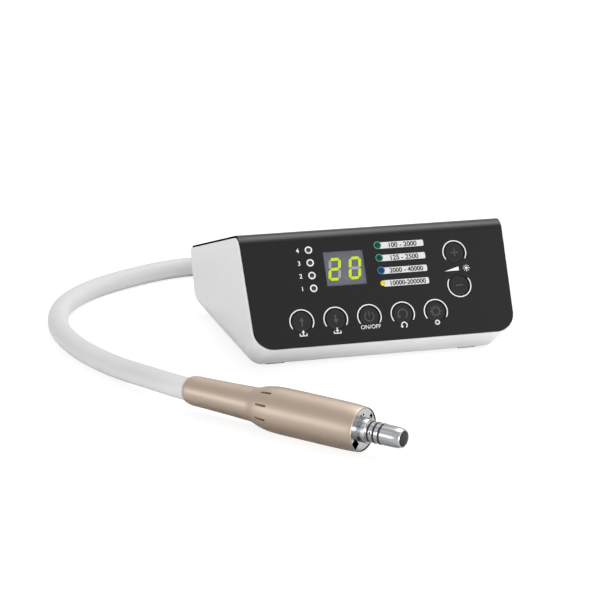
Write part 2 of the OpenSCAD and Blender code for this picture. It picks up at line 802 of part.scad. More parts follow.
// Header on the back of the control board
panel_header_in = 8;
panel_header_u = board_u0 + panel_header_in;
module board_headers() {
    color("ivory") {
        header(ribbon_header_at);
        header(lead_header_at);
        on_panel(0, panel_header_u) translate([0, 0, -board_drop - board_t - header_size.z / 2])
            cube(header_size, center = true);
    }
}
// Flat cable in a loose bow from one header to the other
module ribbon_cable() {
    start = panel_point(panel_header_u, -board_drop - board_t - header_size.z);
    lead = panel_point(panel_header_u, -board_drop - board_t - header_size.z - ribbon_lead);
    end = [ribbon_header_at.y, deck_z + header_size.z];
    rise = [ribbon_header_at.y, end.y + ribbon_rise];
    line = [for (i = [0:ribbon_steps]) bezier(start, lead, rise, end, i / ribbon_steps)];
    sides = [for (i = [0:ribbon_steps])
        let (a = line[max(i - 1, 0)], b = line[min(i + 1, ribbon_steps)], u = (b - a) / norm(b - a))
        [-u.y, u.x] * ribbon_t / 2];
    upper = [for (i = [0:ribbon_steps]) line[i] + sides[i]];
    lower = [for (i = [ribbon_steps:-1:0]) line[i] - sides[i]];
    color("#b0b4b8") across(ribbon_w) polygon(concat(upper, lower));
}
module pressure_sensor() {
    color("#d8d4c8") translate([sensor_at.x, sensor_at.y, deck_z]) {
        translate([-sensor_size.x / 2, -sensor_size.y / 2, 0]) cube(sensor_size);
        bar(tube_d / 2, sensor_size.z - fit_gap, sensor_size.z + sensor_neck_h);
    }
}

// Tube swept along a route: rings square to the local direction, closed at both ends
function route_way(p, i) = let (d = p[min(i + 1, len(p) - 1)] - p[max(i - 1, 0)]) d / norm(d);
// Sideways direction of ring i, carried along the route without twist
function route_side(p, i) =
    let (
        t = route_way(p, i), s = i == 0 ? cross(t, [0, 0, 1]) : route_side(p, i - 1),
        flat = s - (s * t) * t
    )
    flat / norm(flat);
function route_ring(p, i, r, sides) =
    let (t = route_way(p, i), u = route_side(p, i), v = cross(u, t))
    [for (k = [0:sides - 1]) p[i] + r * (cos(360 * k / sides) * u + sin(360 * k / sides) * v)];
module swept(p, r, sides) {
    count = len(p);
    points = [for (i = [0:count - 1]) each route_ring(p, i, r, sides)];
    skin = [for (i = [0:count - 2], k = [0:sides - 1], half = [0, 1])
        let (a = i * sides + k, b = i * sides + (k + 1) % sides)
        half == 0 ? [a, b, b + sides] : [a, b + sides, a + sides]];
    first = [for (k = [1:sides - 2]) [0, k + 1, k]];
    top = (count - 1) * sides;
    last = [for (k = [1:sides - 2]) [top, top + k, top + k + 1]];
    polyhedron(points = points, faces = concat(skin, first, last));
}

module air_tube() { color("#8fb4d8") swept(tube_route, tube_d / 2, thin_sides); }
module motor_cable() { color("#404448") swept(cable_route, cable_d / 2, thin_sides); }

module air_inlet() {
    color("silver") on_back(nipple_x) difference() {
        union() {
            bar(nipple_d / 2, nipple_hex_t - fit_gap, nipple_hex_t + nipple_len);
            cylinder(d = nipple_hex_d, h = nipple_hex_t, $fn = 6);
            bar(nipple_thread_d / 2, -nipple_in, fit_gap);
        }
        bar(nipple_bore_d / 2, -nipple_in + 2, nipple_hex_t + nipple_len + cut_more);
    }
}
module power_socket() {
    color("#202022") on_back(jack_x) {
        difference() {
            union() {
                bar(jack_flange_d / 2, 0, jack_flange_t);
                bar(jack_thread_d / 2, -jack_in, fit_gap);
            }
            bar(jack_bore_d / 2, jack_flange_t - jack_bore_len, jack_flange_t + cut_more);
        }
        bar(jack_pin_d / 2, jack_flange_t - jack_bore_len - fit_gap, -fit_gap);
    }
}
module hex_nut(thread_d) {
    difference() {
        translate([0, 0, -wall - nut_t]) cylinder(d = thread_d + 5, h = nut_t, $fn = 6);
        bar(thread_d / 2 + fit_gap, -wall - nut_t - cut_more, 0);
    }
}
module fitting_nuts() {
    color("silver") {
        on_back(nipple_x) hex_nut(nipple_thread_d);
        on_back(jack_x) hex_nut(jack_thread_d);
    }
}
module gland_nut() { color("#3a3a3c") on_back(gland_x) hex_nut(gland_thread_d); }
module hose_gland() {
    mouth = gland_flange_t + boot_len;
    color("#c8c8ca") on_back(gland_x) difference() {
        union() {
            bar(gland_flange_d / 2, 0, gland_flange_t);
            translate([0, 0, gland_flange_t - fit_gap])
                cylinder(d1 = gland_thread_d + 2, d2 = hose_d + 2 * boot_lip, h = boot_len + fit_gap);
            bar(gland_thread_d / 2, -gland_in, fit_gap);
        }
        bar(hose_d / 2 + hose_gap, hose_seat, mouth + cut_more);
        bar(cable_d / 2 + slide_gap, -gland_in - cut_more, hose_seat + cut_more);
    }
}
module hose() { color("#d4d4d6") swept(hose_route, hose_d / 2, hose_sides); }

// Motor parts, drawn along the axis from the tail end
module tail_sleeve() {
    quarter = 6;
    nose_arc = [for (i = [0:quarter]) let (a = 90 * i / quarter)
        [tail_d / 2 - tail_rise * (1 - sin(a)), tail_round * (1 - cos(a))]];
    color("#c9b9a5") on_motor() difference() {
        rotate_extrude() polygon(concat([[0, 0]], nose_arc, [[neck_d / 2, tail_len], [0, tail_len]]));
        bar(hose_d / 2 + hose_gap, -cut_more, hose_in + cut_more);
        bar(tail_bore_r, hose_in, tail_len + cut_more);
    }
}
module hose_spigot() {
    color("#54585c") on_motor() ring(wire_ring_r + wire_d, spigot_r, hose_in, hose_in + spigot_len);
}
module lead_wires() {
    color("#b06a3a") on_motor() for (i = [0:2])
        turned(wire_ring_r, 120 * i) bar(wire_d / 2, hose_in, bore_s);
}
module motor_sleeve() {
    flare = [for (p = flare_shape) [neck_d / 2 + flare_rise * p.y, tail_len + flare_len * p.x]];
    outline = concat(
        [[0, tail_len]], flare,
        [[sleeve_d / 2, crown_s], [sleeve_d / 2, shoulder_s], [rim_d / 2 + rim_swell, motor_len - rim_round],
         [rim_d / 2, motor_len - rim_edge], [rim_d / 2 - rim_edge, motor_len], [0, motor_len]]
    );
    color("#c9b9a5") on_motor() difference() {
        union() {
            rotate_extrude() polygon(outline);
            bar(spigot_r, tail_len - spigot_len, tail_len + fit_gap);
        }
        bar(spigot_bore_r, tail_len - spigot_len - cut_more, bore_s + cut_more);
        bar(bore_r, bore_s, motor_len + cut_more);
        bar(lip_r + fit_gap, motor_len - lip_len, motor_len + cut_more);
        for (i = [1:notch_count]) turned(bore_r + notch_floor, notch_turn + i * 360 / notch_count)
            translate([0, -notch_w / 2, tail_len]) cube([sleeve_d, notch_w, flare_len + notch_over]);
    }
}
module line_holes(s0, s1) {
    for (a = line_turns) turned(line_r, a) bar(line_d / 2 + line_gap, s0 - cut_more, s1 + cut_more);
}
module terminal_block() {
    color("#e8e2d0") on_motor() difference() {
        bar(core_r, bore_s, bore_s + block_len);
        line_holes(bore_s, bore_s + block_len);
    }
}
module rear_bearing_plate() {
    end = plate_s + plate_len;
    color("silver") on_motor() difference() {
        bar(core_r, plate_s, end);
        bar(bearing_od / 2 + fit_gap, plate_bearing_s - washer_t, end + cut_more);
        bar(shaft_d / 2 + shaft_clear, plate_s + 0.8, end);
        line_holes(plate_s, end);
    }
}
module wave_washer() {
    color("#8a8a8a") on_motor()
        ring(bearing_od / 2 - 1.2, bearing_od / 2 - 0.2, plate_bearing_s - washer_t, plate_bearing_s);
}
module at_bearings() {
    for (s = [plate_bearing_s, flange_bearing_s]) translate([0, 0, s + bearing_w / 2]) children();
}
module race_groove() { rotate_extrude() translate([ball_pitch_r, 0]) circle(r = ball_r + race_gap); }
module bearing_outer_rings() {
    color("#b8bcc0") on_motor() at_bearings() difference() {
        ring(bearing_od / 2 - ring_wall, bearing_od / 2, -bearing_w / 2, bearing_w / 2);
        race_groove();
    }
}
module bearing_inner_rings() {
    color("#b8bcc0") on_motor() at_bearings() difference() {
        ring(shaft_d / 2, shaft_d / 2 + ring_wall, -bearing_w / 2, bearing_w / 2);
        race_groove();
    }
}
module ball_set(s) {
    color("#9a7a3a") on_motor() translate([0, 0, s + bearing_w / 2]) {
        for (i = [0:ball_count - 1]) turned(ball_pitch_r, 360 * i / ball_count) sphere(r = ball_r);
        difference() {
            ring(ball_pitch_r - cage_half, ball_pitch_r + cage_half, -ball_r * 1.3, ball_r * 1.3);
            for (i = [0:ball_count - 1])
                rotate([0, 90, 360 * i / ball_count]) bar(ball_r + race_gap, cut_more, bearing_od);
        }
    }
}
module rear_ball_set() { ball_set(plate_bearing_s); }
module front_ball_set() { ball_set(flange_bearing_s); }
module stator_core() {
    end = core_s + core_len;
    color("#6a6e72") on_motor() difference() {
        ring(magnet_d / 2 + air_gap, core_r, core_s, end);
        line_holes(core_s, end);
        at_slots() bar(slot_d / 2 + fit_gap, core_s - cut_more, end + cut_more);
    }
}
module at_slots() {
    for (i = [0:slot_count - 1])
        turned((winding_r0 + winding_r1) / 2, 360 * (i + 0.5) / slot_count) children();
}
module stator_winding() {
    end = core_s + core_len;
    color("#b5651d") on_motor() {
        ring(winding_r0, winding_r1, core_s - winding_end, core_s);
        ring(winding_r0, winding_r1, end, end + winding_end);
        at_slots() bar(slot_d / 2, core_s - fit_gap, end + fit_gap);
    }
}
module rotor_magnet() {
    color("#4a4c50") on_motor()
        ring(shaft_d / 2, magnet_d / 2, core_s - magnet_end, core_s + core_len + magnet_end);
}
module rotor_shaft() {
    color("silver") on_motor() difference() {
        union() {
            bar(shaft_d / 2, plate_bearing_s - washer_t, dog_s + fit_gap);
            bar(dog_d / 2, dog_s, dog_end_s);
        }
        translate([-dog_d, -dog_slot_w / 2, dog_end_s - dog_slot_len])
            cube([2 * dog_d, dog_slot_w, dog_slot_len + cut_more]);
    }
}
module spray_lines() {
    color("#c0c4c8") on_motor() for (a = line_turns)
        turned(line_r, a) bar(line_d / 2, bore_s, flange_s + 2);
}
module front_flange() {
    color("#d8dade") on_motor() difference() {
        union() {
            bar(core_r, flange_s, flange_end_s);
            bar(lip_r, motor_len - lip_len + fit_gap, flange_end_s);
        }
        bar(bearing_od / 2 + fit_gap, flange_s - cut_more, flange_s + bearing_w);
        bar(shaft_d / 2 + shaft_clear, flange_s, flange_end_s + cut_more);
        bar(collar_d / 2 + fit_gap, nose_root_s, flange_end_s + cut_more);
        line_holes(flange_s - cut_more, flange_s + 2);
        turned(lamp_r, lamp_turn) translate([0, -lamp_pocket.y / 2, flange_end_s - lamp_pocket.z])
            cube([lamp_pocket.x, lamp_pocket.y, lamp_pocket.z + cut_more]);
        for (a = [-port_step, port_step])
            turned(port_r, port_turn + a) bar(port_d / 2, flange_end_s - port_depth, flange_end_s + cut_more);
        turned(keyway_r, keyway_turn) translate([0, -keyway_w / 2, flange_end_s - keyway_depth])
            cube([rim_d, keyway_w, keyway_depth + cut_more]);
    }
}
module motor_lamp() {
    color("#f2e64a") on_motor() turned(lamp_r, lamp_turn)
        translate([fit_gap, -lamp_chip.y / 2, flange_end_s - lamp_pocket.z])
            cube([lamp_chip.x, lamp_chip.y, lamp_pocket.z - lamp_sunk]);
}
module nose_tube() {
    taper_s = nose_tip_s - tip_taper_len;
    color("#d4d6da") on_motor() difference() {
        union() {
            bar(collar_d / 2, nose_root_s, motor_len + collar_len);
            bar(nose_d / 2, motor_len, taper_s);
            translate([0, 0, taper_s]) cylinder(d1 = nose_d, d2 = tip_d, h = tip_taper_len);
        }
        bar(drive_bore_d / 2, nose_root_s - cut_more, nose_tip_s);
        bar(nose_bore_d / 2, nose_tip_s - nose_bore_len, nose_tip_s + cut_more);
        for (s = ring_places) ring(ring_floor, nose_d, s - ring_t / 2 - fit_gap, s + ring_t / 2 + fit_gap);
        for (i = [0, 1], a = spray_turns) translate([0, 0, (ring_places[i] + ring_places[i + 1]) / 2])
            rotate([0, 90, a]) cylinder(d = spray_hole_d, h = nose_d);
    }
}
ring_floor = nose_d / 2 + ring_stand - ring_t - fit_gap;
module seal_rings() {
    color("#161616") on_motor() for (s = ring_places) translate([0, 0, s])
        rotate_extrude() translate([nose_d / 2 + ring_stand - ring_t / 2, 0]) circle(d = ring_t);
}

framed() lower_housing();
framed() top_cover();
framed() rubber_feet();
framed() cover_screws();
framed() display_lens();
framed() display_module();
framed() lit_segments();
framed() dark_segments();
framed() control_board();
framed() control_board_screws();
framed() key_switches();
framed() recall_key();
framed() store_key();
framed() power_key();
framed() reverse_key();
framed() set_key();
framed() plus_key();
framed() minus_key();
framed() memory_lamps();
framed() green_lamps();
framed() blue_lamp();
framed() yellow_lamp();
framed() drive_board();
framed() drive_board_screws();
framed() heat_sink();
framed() power_transistors();
framed() capacitors();
framed() board_headers();
framed() ribbon_cable();
framed() pressure_sensor();
framed() air_tube();
framed() air_inlet();
framed() power_socket();
framed() fitting_nuts();
framed() hose_gland();
framed() gland_nut();
framed() motor_cable();
framed() hose();
framed() tail_sleeve();
framed() hose_spigot();
framed() lead_wires();
framed() motor_sleeve();
framed() terminal_block();
framed() rear_bearing_plate();
framed() wave_washer();
framed() bearing_outer_rings();
framed() bearing_inner_rings();
framed() front_ball_set();
framed() rear_ball_set();
framed() stator_core();
framed() stator_winding();
framed() rotor_magnet();
framed() rotor_shaft();
framed() spray_lines();
framed() front_flange();
framed() motor_lamp();
framed() nose_tube();
framed() seal_rings();
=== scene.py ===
import math
import bpy
import numpy as np
from mathutils import Matrix


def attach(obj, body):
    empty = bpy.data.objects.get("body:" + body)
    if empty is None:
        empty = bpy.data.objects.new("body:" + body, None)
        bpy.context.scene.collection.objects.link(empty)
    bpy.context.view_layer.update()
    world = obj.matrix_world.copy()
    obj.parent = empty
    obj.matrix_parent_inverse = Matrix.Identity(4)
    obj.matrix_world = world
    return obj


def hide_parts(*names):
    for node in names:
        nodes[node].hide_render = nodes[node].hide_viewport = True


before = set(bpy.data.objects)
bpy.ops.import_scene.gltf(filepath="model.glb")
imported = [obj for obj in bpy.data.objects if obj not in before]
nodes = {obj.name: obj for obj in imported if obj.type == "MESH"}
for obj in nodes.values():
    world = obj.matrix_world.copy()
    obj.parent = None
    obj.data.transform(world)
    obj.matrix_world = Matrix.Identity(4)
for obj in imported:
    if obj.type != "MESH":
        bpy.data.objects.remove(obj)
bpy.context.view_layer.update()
shell = "console_and_motor"          # the body that carries everything still
print("frame loaded:", len(nodes), "nodes")

# places, in millimetres of the part's source
console = dict(depth=140, panelLen=61, panelDeg=61, footZ=15.7, topDeg=16, backDeg=11.5, baseZ=1.5,
               windowX=-17.1)
motor = dict(tail=(-112.5, -37.5), yaw=-52.3, length=101.5, sleeve=22, tailLen=39.5, flangeSunk=0.4)
rear = dict(height=17, glandX=2, flangeT=3, bootLen=22, hoseSeat=2)
middle = np.array([-22.665891, 12.002141, 0.0])       # the frame's origin in those places

tilt, lean, yaw = (math.radians(a) for a in (console["panelDeg"], console["backDeg"], motor["yaw"]))
ridgeY = console["panelLen"] * math.cos(tilt)
ridgeZ = console["footZ"] + console["panelLen"] * math.sin(tilt)
topBackZ = ridgeZ - (console["depth"] - ridgeY) * math.tan(math.radians(console["topDeg"]))
backLowY = console["depth"] - (topBackZ - console["baseZ"]) * math.tan(lean)
axisZ = motor["sleeve"] / 2


def toFrame(p):                      # millimetres of the source to metres of the frame
    return (np.asarray(p, float) - middle) / 1000


def onPanel(p):                      # x across, u up the panel, h out of its face
    x, u, h = np.moveaxis(np.asarray(p, float), -1, 0)
    return toFrame(np.stack([x, u * math.cos(tilt) - h * math.sin(tilt),
                             console["footZ"] + u * math.sin(tilt) + h * math.cos(tilt)], -1))


def onBack(p, atX):                  # across, up the wall, out of it, round a fitting at atX
    a, b, c = np.moveaxis(np.asarray(p, float), -1, 0)
    b = b + rear["height"]
    return toFrame(np.stack([atX - a, backLowY + c * math.cos(lean) + b * math.sin(lean),
                             console["baseZ"] - c * math.sin(lean) + b * math.cos(lean)], -1))


def onMotor(p):                      # down, sideways, along the axis from the tail end
    a, b, s = np.moveaxis(np.asarray(p, float), -1, 0)
    return toFrame(np.stack([motor["tail"][0] + s * math.cos(yaw) - b * math.sin(yaw),
                             motor["tail"][1] + s * math.sin(yaw) + b * math.cos(yaw), axisZ - a], -1))


# mesh makers
def gridFaces(rows, cols, loop=False, flip=False):    # quads of a grid closed round its columns, or both ways
    i, j = np.meshgrid(np.arange(rows if loop else rows - 1), np.arange(cols), indexing="ij")
    k, n = (j + 1) % cols, (i + 1) % rows
    quads = np.stack([i * cols + j, i * cols + k, n * cols + k, n * cols + j], -1).reshape(-1, 4)
    return quads[:, ::-1] if flip else quads


def piece(name, points, faces, material, body, uv=None, smooth=True, replaces=()):
    mesh = bpy.data.meshes.new(name)
    points = np.ascontiguousarray(points, np.float64).reshape(-1, 3)
    mesh.from_pydata(points.tolist(), [], [list(map(int, f)) for f in faces])
    mesh.validate(clean_customdata=False)
    if uv is not None:
        corner = np.zeros(len(mesh.loops), np.int32)
        mesh.loops.foreach_get("vertex_index", corner)
        layer = mesh.uv_layers.new(name="UVMap")
        layer.data.foreach_set("uv", np.asarray(uv, np.float32).reshape(-1, 2)[corner].ravel())
    mesh.polygons.foreach_set("use_smooth", np.full(len(mesh.polygons), smooth))
    mesh.materials.append(material)
    obj = bpy.data.objects.new(name, mesh)
    bpy.context.scene.collection.objects.link(obj)
    if replaces:
        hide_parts(*replaces)
    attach(obj, body)
    return obj


def creaseByAngle(obj, degrees=35):                     # edges sharper than this stay crisp
    obj.data.set_sharp_from_angle(angle=math.radians(degrees))


def lathe(profile, sides=96):                           # profile of (s, r) turned round the third axis
    s, r = np.asarray(profile, float).T
    turn = np.linspace(0, 2 * math.pi, sides, endpoint=False)
    x, y = r[:, None] * np.cos(turn), r[:, None] * np.sin(turn)
    return np.stack([x, y, np.repeat(s[:, None], sides, 1)], -1)


def arcPoints(cx, cy, r, a0, a1, count):                # circle arc from a0 to a1 degrees
    a = np.radians(np.linspace(a0, a1, count))
    return np.stack([cx + r * np.cos(a), cy + r * np.sin(a)], -1)


# finishes
def nodeSet(name):
    m = bpy.data.materials.new(name)
    m.use_nodes = True
    return m, m.node_tree.nodes, m.node_tree.links, m.node_tree.nodes["Principled BSDF"]


def finish(name, base, rough, metal=0.0, spread=0.06, grain=900.0, bump=0.0, bumpScale=4000.0,
           stretch=(1, 1, 1), turn=0.0, roughSpread=0.06, **sockets):    # a drifting tone with a grain
    m, n, l, shader = nodeSet(name)
    shader.inputs["Metallic"].default_value = metal
    for key, value in sockets.items():
        shader.inputs[key.replace("_", " ")].default_value = value
    where = n.new("ShaderNodeTexCoord")
    mapping = n.new("ShaderNodeMapping")
    mapping.vector_type = "TEXTURE"
    mapping.inputs["Rotation"].default_value = (0, 0, turn)
    mapping.inputs["Scale"].default_value = stretch
    l.new(where.outputs["Object"], mapping.inputs["Vector"])
    tone = n.new("ShaderNodeTexNoise")
    tone.inputs["Scale"].default_value = grain
    tone.inputs["Detail"].default_value = 4
    l.new(mapping.outputs["Vector"], tone.inputs["Vector"])
    ramp = n.new("ShaderNodeValToRGB")
    dark = [c * (1 - spread) for c in base]
    pale = [min(1, c * (1 + spread)) for c in base]
    ramp.color_ramp.elements[0].position = 0.3
    ramp.color_ramp.elements[1].position = 0.7
    ramp.color_ramp.elements[0].color = (*dark, 1)
    ramp.color_ramp.elements[1].color = (*pale, 1)
    l.new(tone.outputs["Fac"], ramp.inputs["Fac"])
    l.new(ramp.outputs["Color"], shader.inputs["Base Color"])
    gloss = n.new("ShaderNodeMapRange")
    gloss.inputs["To Min"].default_value = max(0.02, rough - roughSpread)
    gloss.inputs["To Max"].default_value = min(1, rough + roughSpread)
    l.new(tone.outputs["Fac"], gloss.inputs["Value"])
    l.new(gloss.outputs["Result"], shader.inputs["Roughness"])
    if bump:
        fine = n.new("ShaderNodeTexNoise")
        fine.inputs["Scale"].default_value = bumpScale
        fine.inputs["Detail"].default_value = 3
        l.new(mapping.outputs["Vector"], fine.inputs["Vector"])
        lift = n.new("ShaderNodeBump")
        lift.inputs["Strength"].default_value = bump
        lift.inputs["Distance"].default_value = 0.0002
        l.new(fine.outputs["Fac"], lift.inputs["Height"])
        l.new(lift.outputs["Normal"], shader.inputs["Normal"])
    return m


def paintPocketShade(m, face):            # painted shade: what lies deeper than the motor's front face turns dark
    n, l = m.node_tree.nodes, m.node_tree.links
    shader = n["Principled BSDF"]
    axis = np.array([math.cos(yaw), math.sin(yaw), 0.0])
    level = float(onMotor([0, 0, face]) @ axis)
    where = n.new("ShaderNodeTexCoord")
    along = n.new("ShaderNodeVectorMath")
    along.operation = "DOT_PRODUCT"
    along.inputs[1].default_value = axis
    depth = n.new("ShaderNodeMapRange")
    depth.inputs["From Min"].default_value = level - 0.0006
    depth.inputs["From Max"].default_value = level - 0.0001
    mix = n.new("ShaderNodeMix")
    mix.data_type = "RGBA"
    # near-black painted shade for the walls of the flange's pockets
    mix.inputs[6].default_value = (0.008, 0.008, 0.009, 1)
    l.new(where.outputs["Object"], along.inputs[0])
    l.new(along.outputs["Value"], depth.inputs["Value"])
    l.new(depth.outputs["Result"], mix.inputs[0])
    l.new(shader.inputs["Base Color"].links[0].from_socket, mix.inputs[7])
    l.new(mix.outputs[2], shader.inputs["Base Color"])


def faintDot(m, centre, reach, base):    # the display's unlit point is fainter than its bars
    n, l = m.node_tree.nodes, m.node_tree.links
    shader = n["Principled BSDF"]
    where = n.new("ShaderNodeTexCoord")
    parts = n.new("ShaderNodeSeparateXYZ")
    near = n.new("ShaderNodeMath")
    near.operation = "COMPARE"
    near.inputs[1].default_value = float(toFrame((centre, 0, 0))[0])
    near.inputs[2].default_value = reach / 1000
    mix = n.new("ShaderNodeMix")
    mix.data_type = "RGBA"
    mix.inputs[7].default_value = (*base, 1)
    l.new(where.outputs["Object"], parts.inputs[0])
    l.new(parts.outputs[0], near.inputs[0])
    l.new(near.outputs[0], mix.inputs[0])
    l.new(shader.inputs["Base Color"].links[0].from_socket, mix.inputs[6])
    l.new(mix.outputs[2], shader.inputs["Base Color"])


def dullEdges(m, gloss, satin):      # sideways faces lose their gloss, those that look back become satin
    n, l = m.node_tree.nodes, m.node_tree.links
    where = n.new("ShaderNodeNewGeometry")
    parts = n.new("ShaderNodeSeparateXYZ")
    size = n.new("ShaderNodeMath")
    size.operation = "ABSOLUTE"
    fade = n.new("ShaderNodeMapRange")
    fade.inputs["From Min"].default_value = 0.6
    fade.inputs["From Max"].default_value = 0.9
    fade.inputs["To Min"].default_value = gloss
    fade.inputs["To Max"].default_value = 0.0
    back = n.new("ShaderNodeMapRange")
    back.inputs["From Min"].default_value = 0.02
    back.inputs["From Max"].default_value = 0.16
    back.inputs["To Min"].default_value = 1.0
    back.inputs["To Max"].default_value = satin
    both = n.new("ShaderNodeMath")
    both.operation = "MULTIPLY"
    l.new(where.outputs["Normal"], parts.inputs[0])
    l.new(parts.outputs[0], size.inputs[0])
    l.new(size.outputs[0], fade.inputs["Value"])
    l.new(parts.outputs[1], back.inputs["Value"])
    l.new(fade.outputs["Result"], both.inputs[0])
    l.new(back.outputs["Result"], both.inputs[1])
    l.new(both.outputs[0], n["Principled BSDF"].inputs["Specular IOR Level"])


paleShell = finish("paleShell", (0.640, 0.640, 0.640), 0.45, spread=0.015, grain=60, bump=0.08,
                   bumpScale=2600, Specular_IOR_Level=0.3)
darkCover = finish("darkCover", (0.0027, 0.0027, 0.0029), 0.33, spread=0.10, grain=300, bump=0.10,
                   bumpScale=3500, Specular_IOR_Level=0.22)
dullEdges(darkCover, 0.22, 0.18)
keyBlack = finish("keyBlack", (0.0045, 0.0045, 0.0048), 0.42, spread=0.10, grain=500, bump=0.12,
                  bumpScale=4200, Specular_IOR_Level=0.24)
keyIcon = finish("keyIcon", (0.0400, 0.0400, 0.0427), 0.50, spread=0.08, grain=700, Specular_IOR_Level=0.24)
printWhite = finish("printWhite", (0.56, 0.56, 0.56), 0.55, spread=0.03, grain=1200, Specular_IOR_Level=0.2)
printDark = finish("printDark", (0.0267, 0.0267, 0.0293), 0.55, spread=0.05, grain=1200,
                   Specular_IOR_Level=0.2)
plateGrey = finish("plateGrey", (0.47, 0.47, 0.47), 0.50, spread=0.03, grain=800, Specular_IOR_Level=0.2)
darkRubber = finish("darkRubber", (0.0160, 0.0160, 0.0160), 0.62, spread=0.12, grain=900, bump=0.2,
                    Specular_IOR_Level=0.2)
hoseSilicone = finish("hoseSilicone", (0.520, 0.520, 0.524), 0.50, spread=0.012, grain=120, bump=0.05,
                      bumpScale=1800, Specular_IOR_Level=0.25)
bootRubber = finish("bootRubber", (0.62, 0.62, 0.625), 0.55, spread=0.03, grain=400, bump=0.12)
champagne = finish("champagne", (0.215, 0.133, 0.064), 0.55, metal=1.0, spread=0.03, grain=700, bump=0.06,
                   bumpScale=6500, roughSpread=0.03, Coat_Weight=1.0, Coat_Roughness=0.46, Coat_IOR=2.45)
# painted shade: a darker champagne for the slit floors, standing for the shade inside the slits
slitPaintedShade = finish("slitPaintedShade", (0.170, 0.117, 0.071), 0.65, metal=1.0, spread=0.03, grain=700)
# the strong streaks along the axis are partly random tone and partly painted reflection bands
brightSteel = finish("brightSteel", (0.405, 0.408, 0.416), 0.28, metal=1.0, spread=0.30, grain=700,
                     roughSpread=0.08, stretch=(30, 1, 1), turn=yaw)
flangeSteel = finish("flangeSteel", (0.470, 0.473, 0.481), 0.22, metal=1.0, spread=0.04, grain=1500,
                     roughSpread=0.05)
paintPocketShade(flangeSteel, motor["length"] - motor["flangeSunk"])
# painted shade: a matt dark grey in place of the steel inside the nose's bore
borePaintedShade = finish("borePaintedShade", (0.093, 0.093, 0.096), 0.60, spread=0.06, grain=1500, Specular_IOR_Level=0.2)
# painted shade: near-black for the spray holes and for the sleeve lip's inner side and bore
pitPaintedShade = finish("pitPaintedShade", (0.0080, 0.0080, 0.0080), 0.7, spread=0.1, grain=2000, Specular_IOR_Level=0.1)
screwSteel = finish("screwSteel", (0.50, 0.50, 0.51), 0.34, metal=1.0, spread=0.08, grain=900)
coreSteel = finish("coreSteel", (0.14, 0.145, 0.15), 0.45, metal=1.0, spread=0.1, grain=600,
                   stretch=(6, 1, 1), turn=yaw)
plainAluminium = finish("plainAluminium", (0.55, 0.56, 0.57), 0.38, metal=1.0, spread=0.06, grain=500)
nickelBrass = finish("nickelBrass", (0.62, 0.60, 0.54), 0.24, metal=1.0, spread=0.05, grain=900)
copper = finish("copper", (0.50, 0.22, 0.09), 0.30, metal=1.0, spread=0.12, grain=1600)
boardGreen = finish("boardGreen", (0.02, 0.13, 0.05), 0.40, spread=0.15, grain=300)
darkPlastic = finish("darkPlastic", (0.018, 0.018, 0.019), 0.45, spread=0.10, grain=700, bump=0.1)
ivoryPlastic = finish("ivoryPlastic", (0.66, 0.60, 0.46), 0.48, spread=0.05, grain=700)
greyPlastic = finish("greyPlastic", (0.155, 0.165, 0.19), 0.50, spread=0.04, grain=900)
blueTube = finish("blueTube", (0.16, 0.34, 0.55), 0.25, spread=0.05, grain=300)
windowGrey = finish("windowGrey", (0.123, 0.131, 0.149), 0.45, spread=0.03, grain=1500,
                    Specular_IOR_Level=0.1)
unlitBar = finish("unlitBar", (0.307, 0.327, 0.360), 0.40, spread=0.04, grain=1500)
faintDot(unlitBar, console["windowX"], 0.9, (0.150, 0.160, 0.180))
litBar = finish("litBar", (0.267, 0.373, 0.0053), 0.50, spread=0.04, grain=2000, Specular_IOR_Level=0.1,
                Emission_Color=(0.55, 0.70, 0.02, 1), Emission_Strength=0.64)
smokedLens = finish("smokedLens", (0.067, 0.071, 0.080), 0.16, spread=0.05, grain=400, Alpha=0.10)
lampDark = finish("lampDark", (0.0053, 0.0053, 0.0067), 0.30, spread=0.1, grain=2500)
lampGreen = finish("lampGreen", (0.0027, 0.0293, 0.0187), 0.30, spread=0.1, grain=2500,
                   Specular_IOR_Level=0.15)
lampBlue = finish("lampBlue", (0.0027, 0.0240, 0.080), 0.30, spread=0.1, grain=2500,
                  Specular_IOR_Level=0.15)
lampYellow = finish("lampYellow", (0.400, 0.347, 0.0160), 0.22, spread=0.1, grain=2500,
                    Emission_Color=(0.60, 0.52, 0.03, 1), Emission_Strength=0.10)
ringGreen = finish("ringGreen", (0.053, 0.273, 0.180), 0.45, spread=0.05, grain=1500,
                   Specular_IOR_Level=0.2)
ringBlue = finish("ringBlue", (0.0333, 0.140, 0.313), 0.45, spread=0.05, grain=1500, Specular_IOR_Level=0.2)
print("finishes made")

# camera, set where the photograph was taken from
view = dict(place=(-323.8, -977.7, 317.5), turn=15.816, down=15.235, roll=0.098, lens=126.0)


def makeCamera():
    t, e, q = (math.radians(view[k]) for k in ("turn", "down", "roll"))
    ahead = np.array([math.sin(t) * math.cos(e), math.cos(t) * math.cos(e), -math.sin(e)])
    right = np.array([math.cos(t), -math.sin(t), 0.0])
    below = np.cross(ahead, right)
    across = math.cos(q) * right + math.sin(q) * below
    up = -(math.cos(q) * below - math.sin(q) * right)
    m = np.eye(4)
    m[:3, 0], m[:3, 1], m[:3, 2], m[:3, 3] = across, up, -ahead, toFrame(view["place"])
    data = bpy.data.cameras.new("camera")
    data.lens, data.sensor_width, data.clip_start, data.clip_end = view["lens"], 36.0, 0.05, 50.0
    cam = bpy.data.objects.new("camera", data)
    cam.matrix_world = Matrix(m.tolist())
    bpy.context.scene.collection.objects.link(cam)
    bpy.context.scene.camera = cam


makeCamera()
print("camera set")

